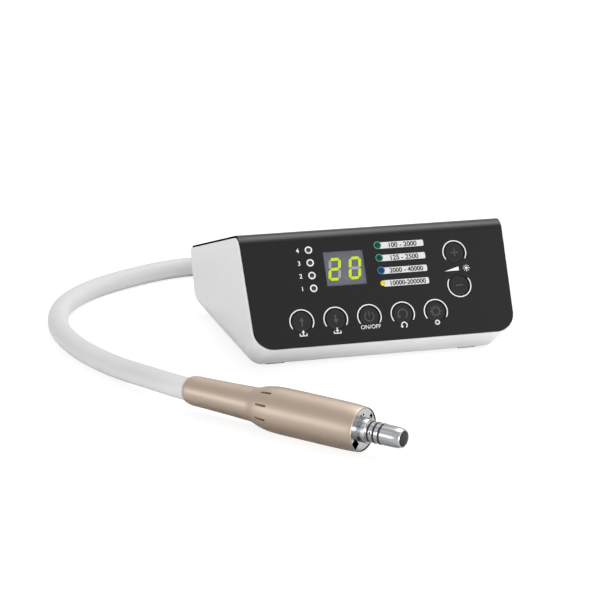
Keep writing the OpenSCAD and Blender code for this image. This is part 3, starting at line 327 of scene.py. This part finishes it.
# hose: one smooth curve through the source's route
hose = dict(diameter=11.2, sides=48, rings=420, into=5, lead=3, route=[
    (-1.3, 178.5, 10), (-10.5, 195, 7.6), (-25, 207.5, 6.3), (-42, 214, 5.8), (-59, 214.2, 5.8),
    (-76, 209, 5.8), (-96, 198, 5.8), (-114, 185, 5.8), (-130, 168, 5.8), (-142, 148, 5.8),
    (-149, 126, 5.8), (-152, 103, 5.8), (-151, 80, 5.8), (-147, 57, 5.9), (-141, 36, 6.2),
    (-134.5, 15, 7.4), (-127.5, -6, 9.4), (-122.2, -20.5, 10.6)])


def splineThrough(points, count):    # natural cubic through the points, by distance along them
    p = np.asarray(points, float)
    t = np.concatenate([[0], np.cumsum(np.linalg.norm(np.diff(p, axis=0), axis=1))])
    h = np.diff(t)
    n = len(p)
    a = np.eye(n)
    b = np.zeros_like(p)
    for i in range(1, n - 1):
        a[i, i - 1:i + 2] = h[i - 1], 2 * (h[i - 1] + h[i]), h[i]
        b[i] = 6 * ((p[i + 1] - p[i]) / h[i] - (p[i] - p[i - 1]) / h[i - 1])
    m = np.linalg.solve(a, b)
    x = np.linspace(0, t[-1], count)
    k = np.clip(np.searchsorted(t, x, side="right") - 1, 0, n - 2)
    d0, d1, hk = (x - t[k])[:, None], (t[k + 1] - x)[:, None], h[k][:, None]
    return (m[k] * d1 ** 3 + m[k + 1] * d0 ** 3) / (6 * hk) + (p[k] / hk - m[k] * hk / 6) * d1 \
        + (p[k + 1] / hk - m[k + 1] * hk / 6) * d0


def tubeAlong(path, radius, sides):  # rings square to the path, their side held level with the desk
    ahead = np.gradient(path, axis=0)
    ahead /= np.linalg.norm(ahead, axis=1)[:, None]
    side = np.cross(ahead, [0, 0, 1.0])
    side /= np.linalg.norm(side, axis=1)[:, None]
    up = np.cross(side, ahead)
    turn = np.linspace(0, 2 * math.pi, sides, endpoint=False)
    ring = np.cos(turn)[:, None] * side[:, None] + np.sin(turn)[:, None] * up[:, None]
    return path[:, None] + radius * ring


def makeHose():
    out = lambda c: onBack([0, 0, c], rear["glandX"]) * 1000
    along = lambda s: onMotor([0, 0, s]) * 1000
    route = [out(rear["hoseSeat"]), out(rear["flangeT"] + rear["bootLen"])]
    route += list(toFrame(hose["route"]) * 1000)
    route += [along(-hose["lead"]), along(hose["into"])]
    path = splineThrough(route, hose["rings"]) / 1000
    points = tubeAlong(path, hose["diameter"] / 2000, hose["sides"])
    faces = [list(f) for f in gridFaces(hose["rings"], hose["sides"], flip=True)]
    last = (hose["rings"] - 1) * hose["sides"]
    faces += [list(range(hose["sides"])), [last + k for k in range(hose["sides"])][::-1]]
    length = float(np.linalg.norm(np.diff(path, axis=0), axis=1).sum())
    u = np.linspace(0, length, hose["rings"])
    v = np.arange(hose["sides"]) / hose["sides"] * hose["diameter"] * math.pi / 1000
    uv = np.stack(np.meshgrid(u, v, indexing="ij"), -1)
    obj = piece("hoseTube", points, faces, hoseSilicone, shell, uv=uv, replaces=["hose"])
    creaseByAngle(obj, 60)
    print("hose length", round(length, 4))


makeHose()

# stage: pale floor and soft lamps
stage = dict(floor=6.0, floorGlow=0.83, worldFill=0.51)
lamps = [
    dict(name="leftSoft", at=(-1.70, -0.12, 0.15), to=(-0.05, -0.08, 0.02), wide=1.2, tall=0.36, power=7.9),
    dict(name="lowSoft", at=(0.15, -1.60, 0.16), to=(0.03, 0.0, 0.03), wide=1.6, tall=0.28, power=24.8),
    dict(name="ridgeSoft", at=(0.41, 0.36, 1.45), to=(0.02, 0.02, 0.07), wide=1.0, tall=1.0, power=20.5),
    dict(name="rightSoft", at=(0.80, -0.95, 0.95), to=(0.06, 0.0, 0.05), wide=0.5, tall=0.5, power=1.1)]


def seenBy(n, l, *kinds):                               # 1 for rays of these kinds
    rays = n.new("ShaderNodeLightPath")
    result = rays.outputs["Is Camera Ray"]
    for kind in kinds:
        either = n.new("ShaderNodeMath")
        either.operation = "MAXIMUM"
        l.new(result, either.inputs[0])
        l.new(rays.outputs["Is %s Ray" % kind], either.inputs[1])
        result = either.outputs[0]
    return result


def makeStage():
    m = bpy.data.materials.new("paleFloor")
    m.use_nodes = True
    n, l = m.node_tree.nodes, m.node_tree.links
    n.clear()
    out = n.new("ShaderNodeOutputMaterial")
    plain = n.new("ShaderNodeBsdfDiffuse")
    plain.inputs["Color"].default_value = (0.90, 0.90, 0.90, 1)
    thin = n.new("ShaderNodeBsdfDiffuse")
    thin.inputs["Color"].default_value = (0.28, 0.28, 0.28, 1)
    glow = n.new("ShaderNodeEmission")
    glow.inputs["Strength"].default_value = stage["floorGlow"]
    both = n.new("ShaderNodeAddShader")
    pick = n.new("ShaderNodeMixShader")
    l.new(thin.outputs[0], both.inputs[0])
    l.new(glow.outputs[0], both.inputs[1])
    l.new(seenBy(n, l, "Transmission"), pick.inputs[0])
    l.new(plain.outputs[0], pick.inputs[1])
    l.new(both.outputs[0], pick.inputs[2])
    l.new(pick.outputs[0], out.inputs[0])
    half = stage["floor"] / 2
    mesh = bpy.data.meshes.new("floor")
    corners = [(-half, -half, 0), (half, -half, 0), (half, half, 0), (-half, half, 0)]
    mesh.from_pydata(corners, [], [(0, 1, 2, 3)])
    mesh.materials.append(m)
    floor = bpy.data.objects.new("floor", mesh)
    bpy.context.scene.collection.objects.link(floor)
    world = bpy.data.worlds.new("studio")
    bpy.context.scene.world = world
    world.use_nodes = True
    n, l = world.node_tree.nodes, world.node_tree.links
    n.clear()
    out = n.new("ShaderNodeOutputWorld")
    dim = n.new("ShaderNodeBackground")
    dim.inputs["Color"].default_value = (1, 1, 1, 1)
    dim.inputs["Strength"].default_value = stage["worldFill"]
    white = n.new("ShaderNodeBackground")
    white.inputs["Color"].default_value = (1, 1, 1, 1)
    white.inputs["Strength"].default_value = 1.0
    pick = n.new("ShaderNodeMixShader")
    l.new(seenBy(n, l, "Glossy", "Transmission"), pick.inputs[0])
    l.new(dim.outputs[0], pick.inputs[1])
    l.new(white.outputs[0], pick.inputs[2])
    l.new(pick.outputs[0], out.inputs[0])
    for spec in lamps:
        data = bpy.data.lights.new(spec["name"], "AREA")
        data.shape = "RECTANGLE"
        data.size, data.size_y, data.energy = spec["wide"], spec["tall"], spec["power"]
        lamp = bpy.data.objects.new(spec["name"], data)
        z = np.array(spec["at"]) - np.array(spec["to"])
        z = z / np.linalg.norm(z)
        x = np.cross([0, 0, 1.0] if abs(z[2]) < 0.99 else [0, 1.0, 0], z)
        x = x / np.linalg.norm(x)
        m4 = np.eye(4)
        m4[:3, 0], m4[:3, 1], m4[:3, 2], m4[:3, 3] = x, np.cross(z, x), z, spec["at"]
        lamp.matrix_world = Matrix(m4.tolist())
        bpy.context.scene.collection.objects.link(lamp)
    bpy.context.scene.view_settings.view_transform = "Standard"


makeStage()
print("stage set")

# motor: turned sleeves, the flare cut by short slits, lengths from the tail end
sleeves = dict(slits=10, slitTurn=30.5, slitWidth=0.9, slitTo=53.1, slitFloor=10.0, slitShows=46.4, between=18,
               sides=180, hoseBore=5.75, tailBore=6.0, spigotFrom=31.5, spigotR=5.95, spigotBore=4.55,
               boreFrom=52.5, boreR=9.3, lipFrom=99.5, tipLen=6, tipR=5.9, tipRise=1.4,
               tail=[(6, 7.3), (20, 7.6), (28.5, 7.82), (34, 8.05), (39.5, 8.2)],
               body=[(39.5, 8.2), (41, 8.5), (42.7, 8.98), (44.6, 9.6), (46.6, 10.08), (48.8, 10.45),
                     (51.5, 10.76), (55, 10.94), (61.5, 11.0), (83.5, 11.0), (92, 10.92), (97.5, 10.74),
                     (100.4, 10.53)],
               lip=[(101.0, 10.44), (101.3, 10.32), (101.47, 10.14), (101.5, 10.0), (101.47, 9.9),
                    (101.4, 9.86)], lipBore=9.85)


def smoothProfile(knots, s):                            # cubic through the knots that never overshoots them
    x, y = np.asarray(knots, float).T
    h, d = np.diff(x), np.diff(y) / np.diff(x)
    slope = np.zeros_like(y)
    same = d[:-1] * d[1:] > 0
    w1, w2 = 2 * h[1:] + h[:-1], h[1:] + 2 * h[:-1]
    safe = np.where(same, d[:-1], 1.0), np.where(same, d[1:], 1.0)
    slope[1:-1] = np.where(same, (w1 + w2) / (w1 / safe[0] + w2 / safe[1]), 0)
    slope[0], slope[-1] = d[0] * 0.4, d[-1]
    k = np.clip(np.searchsorted(x, s, side="right") - 1, 0, len(x) - 2)
    t = (s - x[k]) / h[k]
    return ((1 + 2 * t) * (1 - t) ** 2 * y[k] + t * (1 - t) ** 2 * h[k] * slope[k]
            + t * t * (3 - 2 * t) * y[k + 1] + t * t * (t - 1) * h[k] * slope[k + 1])


def slitTurns():                     # turns round the sleeve with both edges of every slit among them
    half = sleeves["slitWidth"] / 2 / sleeves["slitFloor"]
    step = 2 * math.pi / sleeves["slits"]
    past = np.linspace(half + 0.004, step - half, sleeves["between"])[:-1]
    one = np.concatenate([[-half - 0.004, -half, half], past])
    mid = math.radians(sleeves["slitTurn"]) + step * np.arange(sleeves["slits"])
    inSlit = np.abs(one) <= half
    return (mid[:, None] + one).ravel(), np.tile(inSlit, sleeves["slits"])


def makeSleeves():
    a = np.radians(np.linspace(0, 90, 14))
    tipR = sleeves["tipR"] + sleeves["tipRise"] * np.sin(a)
    tip = np.stack([sleeves["tipLen"] * (1 - np.cos(a)), tipR], -1)
    join, into, snug = motor["tailLen"], hose["into"], sleeves["hoseBore"]
    s = np.linspace(7, join, 24)
    tail = [(into, snug), (0.25, snug), (0.06, 5.8)] + tip.tolist()
    tail += np.stack([s, smoothProfile(sleeves["tail"], s)], -1).tolist()
    tail += [(join, sleeves["tailBore"]), (into, sleeves["tailBore"])]
    faces = gridFaces(len(tail), sleeves["sides"], loop=True)
    obj = piece("tailSleeve", onMotor(lathe(tail, sleeves["sides"])), faces, champagne, shell,
                replaces=["tail_sleeve"])
    creaseByAngle(obj, 40)
    turn, inSlit = slitTurns()
    end = sleeves["slitTo"]
    flare, rest = np.linspace(join, 54, 60), np.linspace(54, 100.4, 50)
    s = np.unique(np.concatenate([flare, [end - 0.02, end + 0.02], rest]))
    r = np.repeat(smoothProfile(sleeves["body"], s)[:, None], len(turn), 1)
    cut = inSlit[None, :] & (s < end)[:, None]
    r = np.where(cut, np.minimum(r, sleeves["slitFloor"]), r)
    body = np.stack([r * np.cos(turn), r * np.sin(turn), np.repeat(s[:, None], len(turn), 1)], -1)
    ring = lambda s0, r0: np.stack([r0 * np.cos(turn), r0 * np.sin(turn), np.full(len(turn), s0)], -1)[None]
    spigotFrom, spigotR, spigotBore = (sleeves[k] for k in ("spigotFrom", "spigotR", "spigotBore"))
    spigot = [(spigotFrom, spigotBore), (spigotFrom, spigotR), (join, spigotR)]
    front = sleeves["lip"] + [(sleeves["lipFrom"], sleeves["lipBore"])]
    bore = [(sleeves["lipFrom"], sleeves["boreR"]), (sleeves["boreFrom"], sleeves["boreR"])]
    bore += [(sleeves["boreFrom"], spigotBore)]
    grid = np.concatenate([ring(*p) for p in spigot] + [body] + [ring(*p) for p in front + bore])
    faces = gridFaces(len(grid), len(turn), loop=True)
    obj = piece("motorSleeve", onMotor(grid), faces, champagne, shell, replaces=["motor_sleeve"])
    obj.data.materials.append(slitPaintedShade)
    # slit floors past slitShows take the painted slit shade
    low = np.zeros(grid.shape[:2], bool)
    floors = cut & (r <= sleeves["slitFloor"]) & (s > sleeves["slitShows"])[:, None]
    low[len(spigot):len(spigot) + len(s)] = floors
    index = low.ravel()[faces].all(1).astype(np.int32)
    index[(len(spigot) + len(s) + 3) * len(turn):] = 2    # painted shade on the lip's inner side and the bore
    obj.data.materials.append(pitPaintedShade)
    obj.data.polygons.foreach_set("material_index", index)
    creaseByAngle(obj, 32)


makeSleeves()
print("motor sleeves made")

# nose: turned steel with three ring grooves and a bored tip, lengths from the rim
nose = dict(rings=(5, 8, 11), ringHalf=0.55, floor=4.0, r=4.9, spray=((9.5, 78), (6.5, 258)), sprayR=0.46,
            columns=180)


def makeNose():
    r = nose["r"]
    p = [(-4.4, 5.2), (-4.4, 5.8), (3.4, 5.8), (3.72, 5.72), (3.9, 5.5), (3.9, 5.1), (4.0, 4.95), (4.15, r)]
    for c in nose["rings"]:
        a, b = c - nose["ringHalf"], c + nose["ringHalf"]
        p += [(a - 0.08, r), (a, r - 0.08), (a, nose["floor"])]
        p += [(b, nose["floor"]), (b, r - 0.08), (b + 0.08, r)]
        if c != nose["rings"][-1]:
            p += [(s, r) for s in np.linspace(b + 0.2, b + 1.7, 12)]
    p += [(12, r), (15, r), (17, 4.89), (18.5, 4.84), (19.6, 4.74), (20.5, 4.6), (21.2, 4.42), (21.65, 4.22)]
    p += [(21.9, 4.02), (22, 3.84), (21.95, 3.7), (21.75, 3.61), (21.4, 3.6), (12.6, 3.6), (12.6, 3.2)]
    p += [(-4.4, 3.2)]
    p = np.array(p, float)
    p[:, 0] += motor["length"]
    turn = np.linspace(0, 2 * math.pi, nose["columns"], endpoint=False)
    grid = lathe(p, nose["columns"])
    s, out = grid[..., 2] - motor["length"], np.hypot(grid[..., 0], grid[..., 1])
    pit = np.zeros(s.shape, bool)
    for at, a in nose["spray"]:                         # small round spray holes pressed into the wall
        gap = (np.radians(a) - turn + math.pi) % (2 * math.pi) - math.pi
        pit |= (np.hypot(s - at, gap[None, :] * r) < nose["sprayR"]) & (out > r - 0.1)
    grid[..., :2] = np.where(pit[..., None], grid[..., :2] * 0.80, grid[..., :2])
    faces = gridFaces(len(p), nose["columns"], loop=True)
    obj = piece("noseTube", onMotor(grid), faces, brightSteel, shell, replaces=["nose_tube"])
    obj.data.materials.append(pitPaintedShade)
    obj.data.materials.append(borePaintedShade)
    # the bore's inside takes the painted shade grey, the spray holes the near-black painted shade
    index = np.where((out < 3.65).ravel()[faces].all(1), 2, pit.ravel()[faces].any(1))
    obj.data.polygons.foreach_set("material_index", index.astype(np.int32))
    creaseByAngle(obj, 28)


makeNose()
print("nose made")

# hose gland: flange and a tapered boot with grooves round it
gland = dict(ribs=6, ribDepth=0.9, columns=96)


def makeGland():
    p = [(-9.5, 3.3), (-9.5, 7.1), (0.0, 7.1), (0.0, 9.1)]
    p += [tuple(q) for q in arcPoints(0.5, 9.1, 0.5, 180, 90, 5)]
    p += [tuple(q) for q in arcPoints(2.3, 8.9, 0.7, 90, 0, 7)] + [(3.0, 8.15)]
    pitch = (rear["bootLen"] - 3) / gland["ribs"]
    for i in range(gland["ribs"]):
        s0 = 4.2 + i * pitch
        rr = lambda s: 8.1 - 1.3 * (s - 3) / rear["bootLen"]
        p += [(s0, rr(s0)), (s0 + 0.25, rr(s0) - 0.2), (s0 + 0.35, rr(s0) - gland["ribDepth"]),
              (s0 + 1.15, rr(s0) - gland["ribDepth"]), (s0 + 1.25, rr(s0) - 0.25), (s0 + 1.5, rr(s0 + 1.5))]
    end = rear["flangeT"] + rear["bootLen"]
    seat, snug = rear["hoseSeat"], sleeves["hoseBore"]
    p += [(end - 0.5, 6.82), (end - 0.12, 6.7), (end, 6.4), (end, 5.95)]
    p += [(end - 0.3, snug), (seat, snug), (seat, 3.3)]
    grid = onBack(lathe(p, gland["columns"]), rear["glandX"])
    faces = gridFaces(len(p), gland["columns"], loop=True)
    obj = piece("hoseGland", grid, faces, bootRubber, shell, replaces=["hose_gland"])
    creaseByAngle(obj, 40)


makeGland()
print("gland made")

# printed marks and plates: flat outlines a hair above the panel
marks = dict(height=0.04, depth=0.10, keyRow=[-44.05, -26.1, -8.15, 9.8, 27.75], rowU=13.4, sideX=42.7,
             plusU=43.9, minusU=26.3, ringR=6.22, stroke=0.54, span=122, memoryX=-35.4, memoryR=1.62, memoryW=0.66,
             figureLeft=5.9, gearX=1.7, lampU=30.3, lampPitch=6.75, plateEnd=26.6, plateH=3.35, plateDrop=0.25,
             labelDrop=5.9, sunRight=5.2)
keyNames = ("recall", "store", "power", "reverse", "set", "plus", "minus")
keyPlaces = [(x, marks["rowU"]) for x in marks["keyRow"]]
keyPlaces += [(marks["sideX"], marks["plusU"]), (marks["sideX"], marks["minusU"])]
lampRows = [marks["lampU"] + k * marks["lampPitch"] for k in range(4)]


def stroke(path, width):                                # a band of constant width along a line of points
    p = np.asarray(path, float)
    d = np.gradient(p, axis=0)
    d /= np.linalg.norm(d, axis=1)[:, None]
    side = np.stack([-d[:, 1], d[:, 0]], -1) * width / 2
    n = len(p)
    i = np.arange(n - 1)
    return np.concatenate([p - side, p + side]), np.stack([i, i + 1, i + 1 + n, i + n], -1).tolist()


def outline(path):                                      # a filled outline
    p = np.asarray(path, float)
    return p, [list(range(len(p)))]


def disc(cx, cy, r, count=32):
    return outline(arcPoints(cx, cy, r, 0, 360 * (1 - 1 / count), count))


def roundedBox(cx, cy, w, h, r, count=8):
    c = [(cx + w / 2 - r, cy + h / 2 - r, 0), (cx - w / 2 + r, cy + h / 2 - r, 90),
         (cx - w / 2 + r, cy - h / 2 + r, 180), (cx + w / 2 - r, cy - h / 2 + r, 270)]
    return outline(np.concatenate([arcPoints(x, y, r, a, a + 90, count) for x, y, a in c]))


def ringBand(cx, cy, r, width, a0=0.0, a1=360.0, count=72):    # part or whole of a ring, with round ends
    parts = [stroke(arcPoints(cx, cy, r, a0, a1, count), width)]
    if a1 - a0 < 359:
        for a in (a0, a1):
            q = arcPoints(cx, cy, r, a, a, 1)[0]
            parts.append(disc(q[0], q[1], width / 2, 16))
    return parts


def words(text, cx, cy, size, bold=0.0):                # plain figures set flat and centred
    data = bpy.data.curves.new("set", "FONT")
    data.body, data.size, data.align_x, data.align_y, data.offset = text, size, "CENTER", "CENTER", bold
    holder = bpy.data.objects.new("set", data)
    bpy.context.scene.collection.objects.link(holder)
    bpy.context.view_layer.update()
    mesh = bpy.data.meshes.new_from_object(holder.evaluated_get(bpy.context.evaluated_depsgraph_get()))
    co = np.zeros(len(mesh.vertices) * 3)
    mesh.vertices.foreach_get("co", co)
    p = co.reshape(-1, 3)[:, :2]
    faces = [list(f.vertices) for f in mesh.polygons]
    mid = (p.min(0) + p.max(0)) / 2
    bpy.data.objects.remove(holder)
    bpy.data.curves.remove(data)
    bpy.data.meshes.remove(mesh)
    return p - mid + np.array([cx, cy]), faces


def flatPiece(name, parts, material, body, height):    # outlines joined into one thin piece on the panel
    points, faces, start = [], [], 0
    for p, f in parts:
        points.append(np.column_stack([p, np.full(len(p), height)]))
        faces += [[start + k for k in face] for face in f]
        start += len(p)
    obj = piece(name, onPanel(np.concatenate(points)), faces, material, body, smooth=False)
    sink = obj.modifiers.new("sink", "SOLIDIFY")
    sink.thickness, sink.offset = marks["depth"] / 1000, -1.0


def arrow(cx, cy, length, width, head, turn):           # straight arrow pointing along turn
    a = math.radians(turn)
    d, s = np.array([math.cos(a), math.sin(a)]), np.array([-math.sin(a), math.cos(a)])
    c = np.array([cx, cy])
    tip, neck, tail = c + d * length / 2, c + d * (length / 2 - head), c - d * length / 2
    return [outline([tail - s * width / 2, neck - s * width / 2, neck + s * width / 2, tail + s * width / 2]),
            outline([neck - s * head * 0.62, tip, neck + s * head * 0.62])]


def turnArrow(cx, cy, r, width, a0, a1, head):          # arrow bent round a circle
    end = arcPoints(cx, cy, r, a1, a1, 1)[0]
    way = math.radians(a1 + (90 if a1 > a0 else -90))
    d, s = np.array([math.cos(way), math.sin(way)]), np.array([-math.sin(way), math.cos(way)])
    return [stroke(arcPoints(cx, cy, r, a0, a1, 32), width),
            outline([end - s * head * 0.7, end + d * head, end + s * head * 0.7])]


def tray(cx, cy, w, h, t):                              # open box under an arrow
    left, right = cx - w / 2, cx + w / 2
    return [stroke([(left, cy + h), (left, cy)], t), stroke([(right, cy), (right, cy + h)], t),
            stroke([(left - t / 2, cy), (right + t / 2, cy)], t)]


def spokes(cx, cy, r0, r1, count, t):                   # short lines outward from a centre
    parts = []
    for k in range(count):
        a = 360 * k / count
        ends = [arcPoints(cx, cy, r, a, a, 1)[0] for r in (r0, r1)]
        parts.append(stroke(np.array(ends), t))
    return parts


def cog(cx, cy, r, teeth, t):                           # ring with short teeth
    return ringBand(cx, cy, r, t) + spokes(cx, cy, r, r * 1.5, teeth, t)


def makeMarks():
    white = []
    for name, (x, u) in zip(keyNames, keyPlaces):
        facing = 270 if name == "minus" else 90
        white += ringBand(x, u, marks["ringR"], marks["stroke"], facing - marks["span"], facing + marks["span"])
    for k, u in enumerate(lampRows):
        white += ringBand(marks["memoryX"], u, marks["memoryR"], marks["memoryW"])
        white.append(words(str(k + 1), marks["memoryX"] - marks["figureLeft"], u, 3.3, 0.04))
    low = marks["rowU"] - marks["labelDrop"]
    k = marks["keyRow"]
    white += arrow(k[0], low + 0.2, 2.6, 0.55, 1.4, 90) + tray(k[0], low - 1.5, 3.6, 1.2, 0.5)
    white += arrow(k[1], low + 0.1, 2.6, 0.55, 1.4, 270) + tray(k[1], low - 1.5, 3.6, 1.2, 0.5)
    white.append(words("ON/OFF", k[2], low + 0.5, 2.95, 0.01))
    white += turnArrow(k[3], low, 1.45, 0.55, -60, 200, 1.15)
    white += cog(k[4], low, 0.95, 8, 0.55)
    between = (marks["plusU"] + marks["minusU"]) / 2
    side = marks["sideX"]
    sun = side + marks["sunRight"]
    wedge = [(side - 7.0, between - 1.0), (side + 1.0, between - 1.0), (side + 1.0, between + 1.1)]
    white.append(outline(wedge))
    white.append(disc(sun, between, 0.75, 24))
    white += spokes(sun, between, 1.15, 1.8, 8, 0.4)
    flatPiece("panelPrint", white, printWhite, shell, marks["height"])
    start = marks["gearX"] + 0.3
    wide, drop = marks["plateEnd"] - start, marks["plateDrop"]
    plates = [roundedBox(start + wide / 2, u - drop, wide, marks["plateH"], 0.75) for u in lampRows]
    flatPiece("gearPlates", plates, plateGrey, shell, marks["height"])
    figures = [("10000-200000", 3.4), ("2000 - 40000", 3.4), ("125 - 2500", 3.6), ("100 - 2000", 3.6)]
    over = marks["height"] * 2
    across = start + wide / 2 + 1.0
    ranges = [words(t, across, u - drop, size, 0.10) for (t, size), u in zip(figures, lampRows)]
    flatPiece("gearFigures", ranges, printDark, shell, over)
    rims = [ringBand(marks["gearX"], u, 1.86, 0.32) for u in lampRows]
    flatPiece("greenRims", rims[2] + rims[3], ringGreen, shell, over)
    flatPiece("blueRim", rims[1], ringBlue, shell, over)
    row, plus, minus = marks["rowU"], marks["plusU"], marks["minusU"]
    icons = [arrow(k[0], row, 4.6, 0.8, 2.2, 90),
             arrow(k[1], row, 4.6, 0.8, 2.2, 270),
             ringBand(k[2], row, 2.4, 0.6, -235, 55) + [stroke([(k[2], row), (k[2], row + 3.0)], 0.6)],
             turnArrow(k[3], row, 2.4, 0.7, -60, 200, 1.6),
             cog(k[4], row, 2.0, 10, 0.8),
             [stroke([(side - 2.0, plus), (side + 2.0, plus)], 0.7),
              stroke([(side, plus - 2.0), (side, plus + 2.0)], 0.7)],
             [stroke([(side - 2.0, minus), (side + 2.0, minus)], 0.7)]]
    for name, parts in zip(keyNames, icons):
        flatPiece(name + "Icon", parts, keyIcon, name + "_key_body", -0.03)


makeMarks()
print("panel marks made")

# key caps: turned discs with a shallow dish and a soft edge, riding on their own keys
keys = dict(columns=72, profile=[
    (-6.4, 1.4), (-2.1, 1.4), (-2.1, 5.9), (-1.3, 5.9), (-1.3, 5.2), (-0.3, 5.2),
    (-0.12, 5.1), (-0.03, 4.92), (0.0, 4.7), (-0.05, 3.4), (-0.09, 1.6), (-0.10, 0.4)])


def turnedPiece(name, profile, places, columns, material, body, replaces=()):    # turned on the panel
    grid = lathe(profile, columns).reshape(-1, 3)
    last = (len(profile) - 1) * columns
    one = gridFaces(len(profile), columns).tolist()
    one += [list(range(columns))[::-1], [last + k for k in range(columns)]]
    points = [onPanel(grid + np.array([x, u, 0.0])) for x, u in places]
    faces = [[k + i * len(grid) for k in f] for i in range(len(places)) for f in one]
    obj = piece(name, np.concatenate(points), faces, material, body, replaces=replaces)
    creaseByAngle(obj, 40)


def makeKeys():
    for name, at in zip(keyNames, keyPlaces):
        turnedPiece(name + "Cap", keys["profile"], [at], keys["columns"], keyBlack, name + "_key_body",
                    [name + "_key"])


makeKeys()
print("keys made")

# lamp domes: low lenses on the ends of the light guides
domes = dict(memoryR=1.2, gearR=1.68, yellowR=1.42, high=0.35, columns=40)


def makeDomes():
    a = np.radians(np.linspace(0, 82, 9))
    dome = lambda r: [(-0.05, r)] + np.stack([domes["high"] * np.sin(a), r * np.cos(a)], -1).tolist()
    memory, gear = ([(marks[x], u) for u in lampRows] for x in ("memoryX", "gearX"))
    for name, r, places, material, slot in (
            ("memoryDomes", domes["memoryR"], memory, lampDark, "smoked_lamp"),
            ("greenDomes", domes["gearR"], gear[2:], lampGreen, "green_lamp"),
            ("blueDome", domes["gearR"], gear[1:2], lampBlue, "blue_lamp"),
            ("yellowDome", domes["yellowR"], gear[:1], lampYellow, "yellow_lamp")):
        turnedPiece(name, dome(r), places, domes["columns"], material, shell)


makeDomes()
print("lamp domes made")

# finishes of the solids that stay
solidFinish = dict(
    lower_housing=paleShell, top_cover=darkCover, rubber_feet=darkRubber, cover_screws=screwSteel,
    display_lens=smokedLens, display_module=windowGrey, lit_segments=litBar, dark_segments=unlitBar,
    control_board=boardGreen, control_board_screws=screwSteel, key_switches=darkPlastic,
    recall_key=keyBlack, store_key=keyBlack, power_key=keyBlack, reverse_key=keyBlack, set_key=keyBlack,
    plus_key=keyBlack, minus_key=keyBlack, memory_lamps=lampDark, green_lamps=lampGreen, blue_lamp=lampBlue,
    yellow_lamp=lampYellow, drive_board=boardGreen, drive_board_screws=screwSteel, heat_sink=plainAluminium,
    power_transistors=darkPlastic, capacitors=plainAluminium, board_headers=ivoryPlastic,
    ribbon_cable=greyPlastic, pressure_sensor=ivoryPlastic, air_tube=blueTube, air_inlet=nickelBrass,
    power_socket=darkPlastic,
    fitting_nuts=nickelBrass, hose_gland=bootRubber, gland_nut=darkPlastic, motor_cable=darkRubber,
    tail_sleeve=champagne, hose_spigot=darkPlastic, lead_wires=copper, motor_sleeve=champagne,
    terminal_block=ivoryPlastic, rear_bearing_plate=plainAluminium, wave_washer=screwSteel,
    bearing_outer_rings=brightSteel, bearing_inner_rings=brightSteel, front_ball_set=brightSteel,
    rear_ball_set=brightSteel, stator_core=coreSteel, stator_winding=copper, rotor_magnet=coreSteel,
    rotor_shaft=brightSteel, spray_lines=screwSteel, front_flange=flangeSteel, motor_lamp=lampYellow,
    nose_tube=brightSteel, seal_rings=darkRubber)
for name, material in solidFinish.items():
    nodes[name].data.materials.clear()
    nodes[name].data.materials.append(material)
print("solids finished")
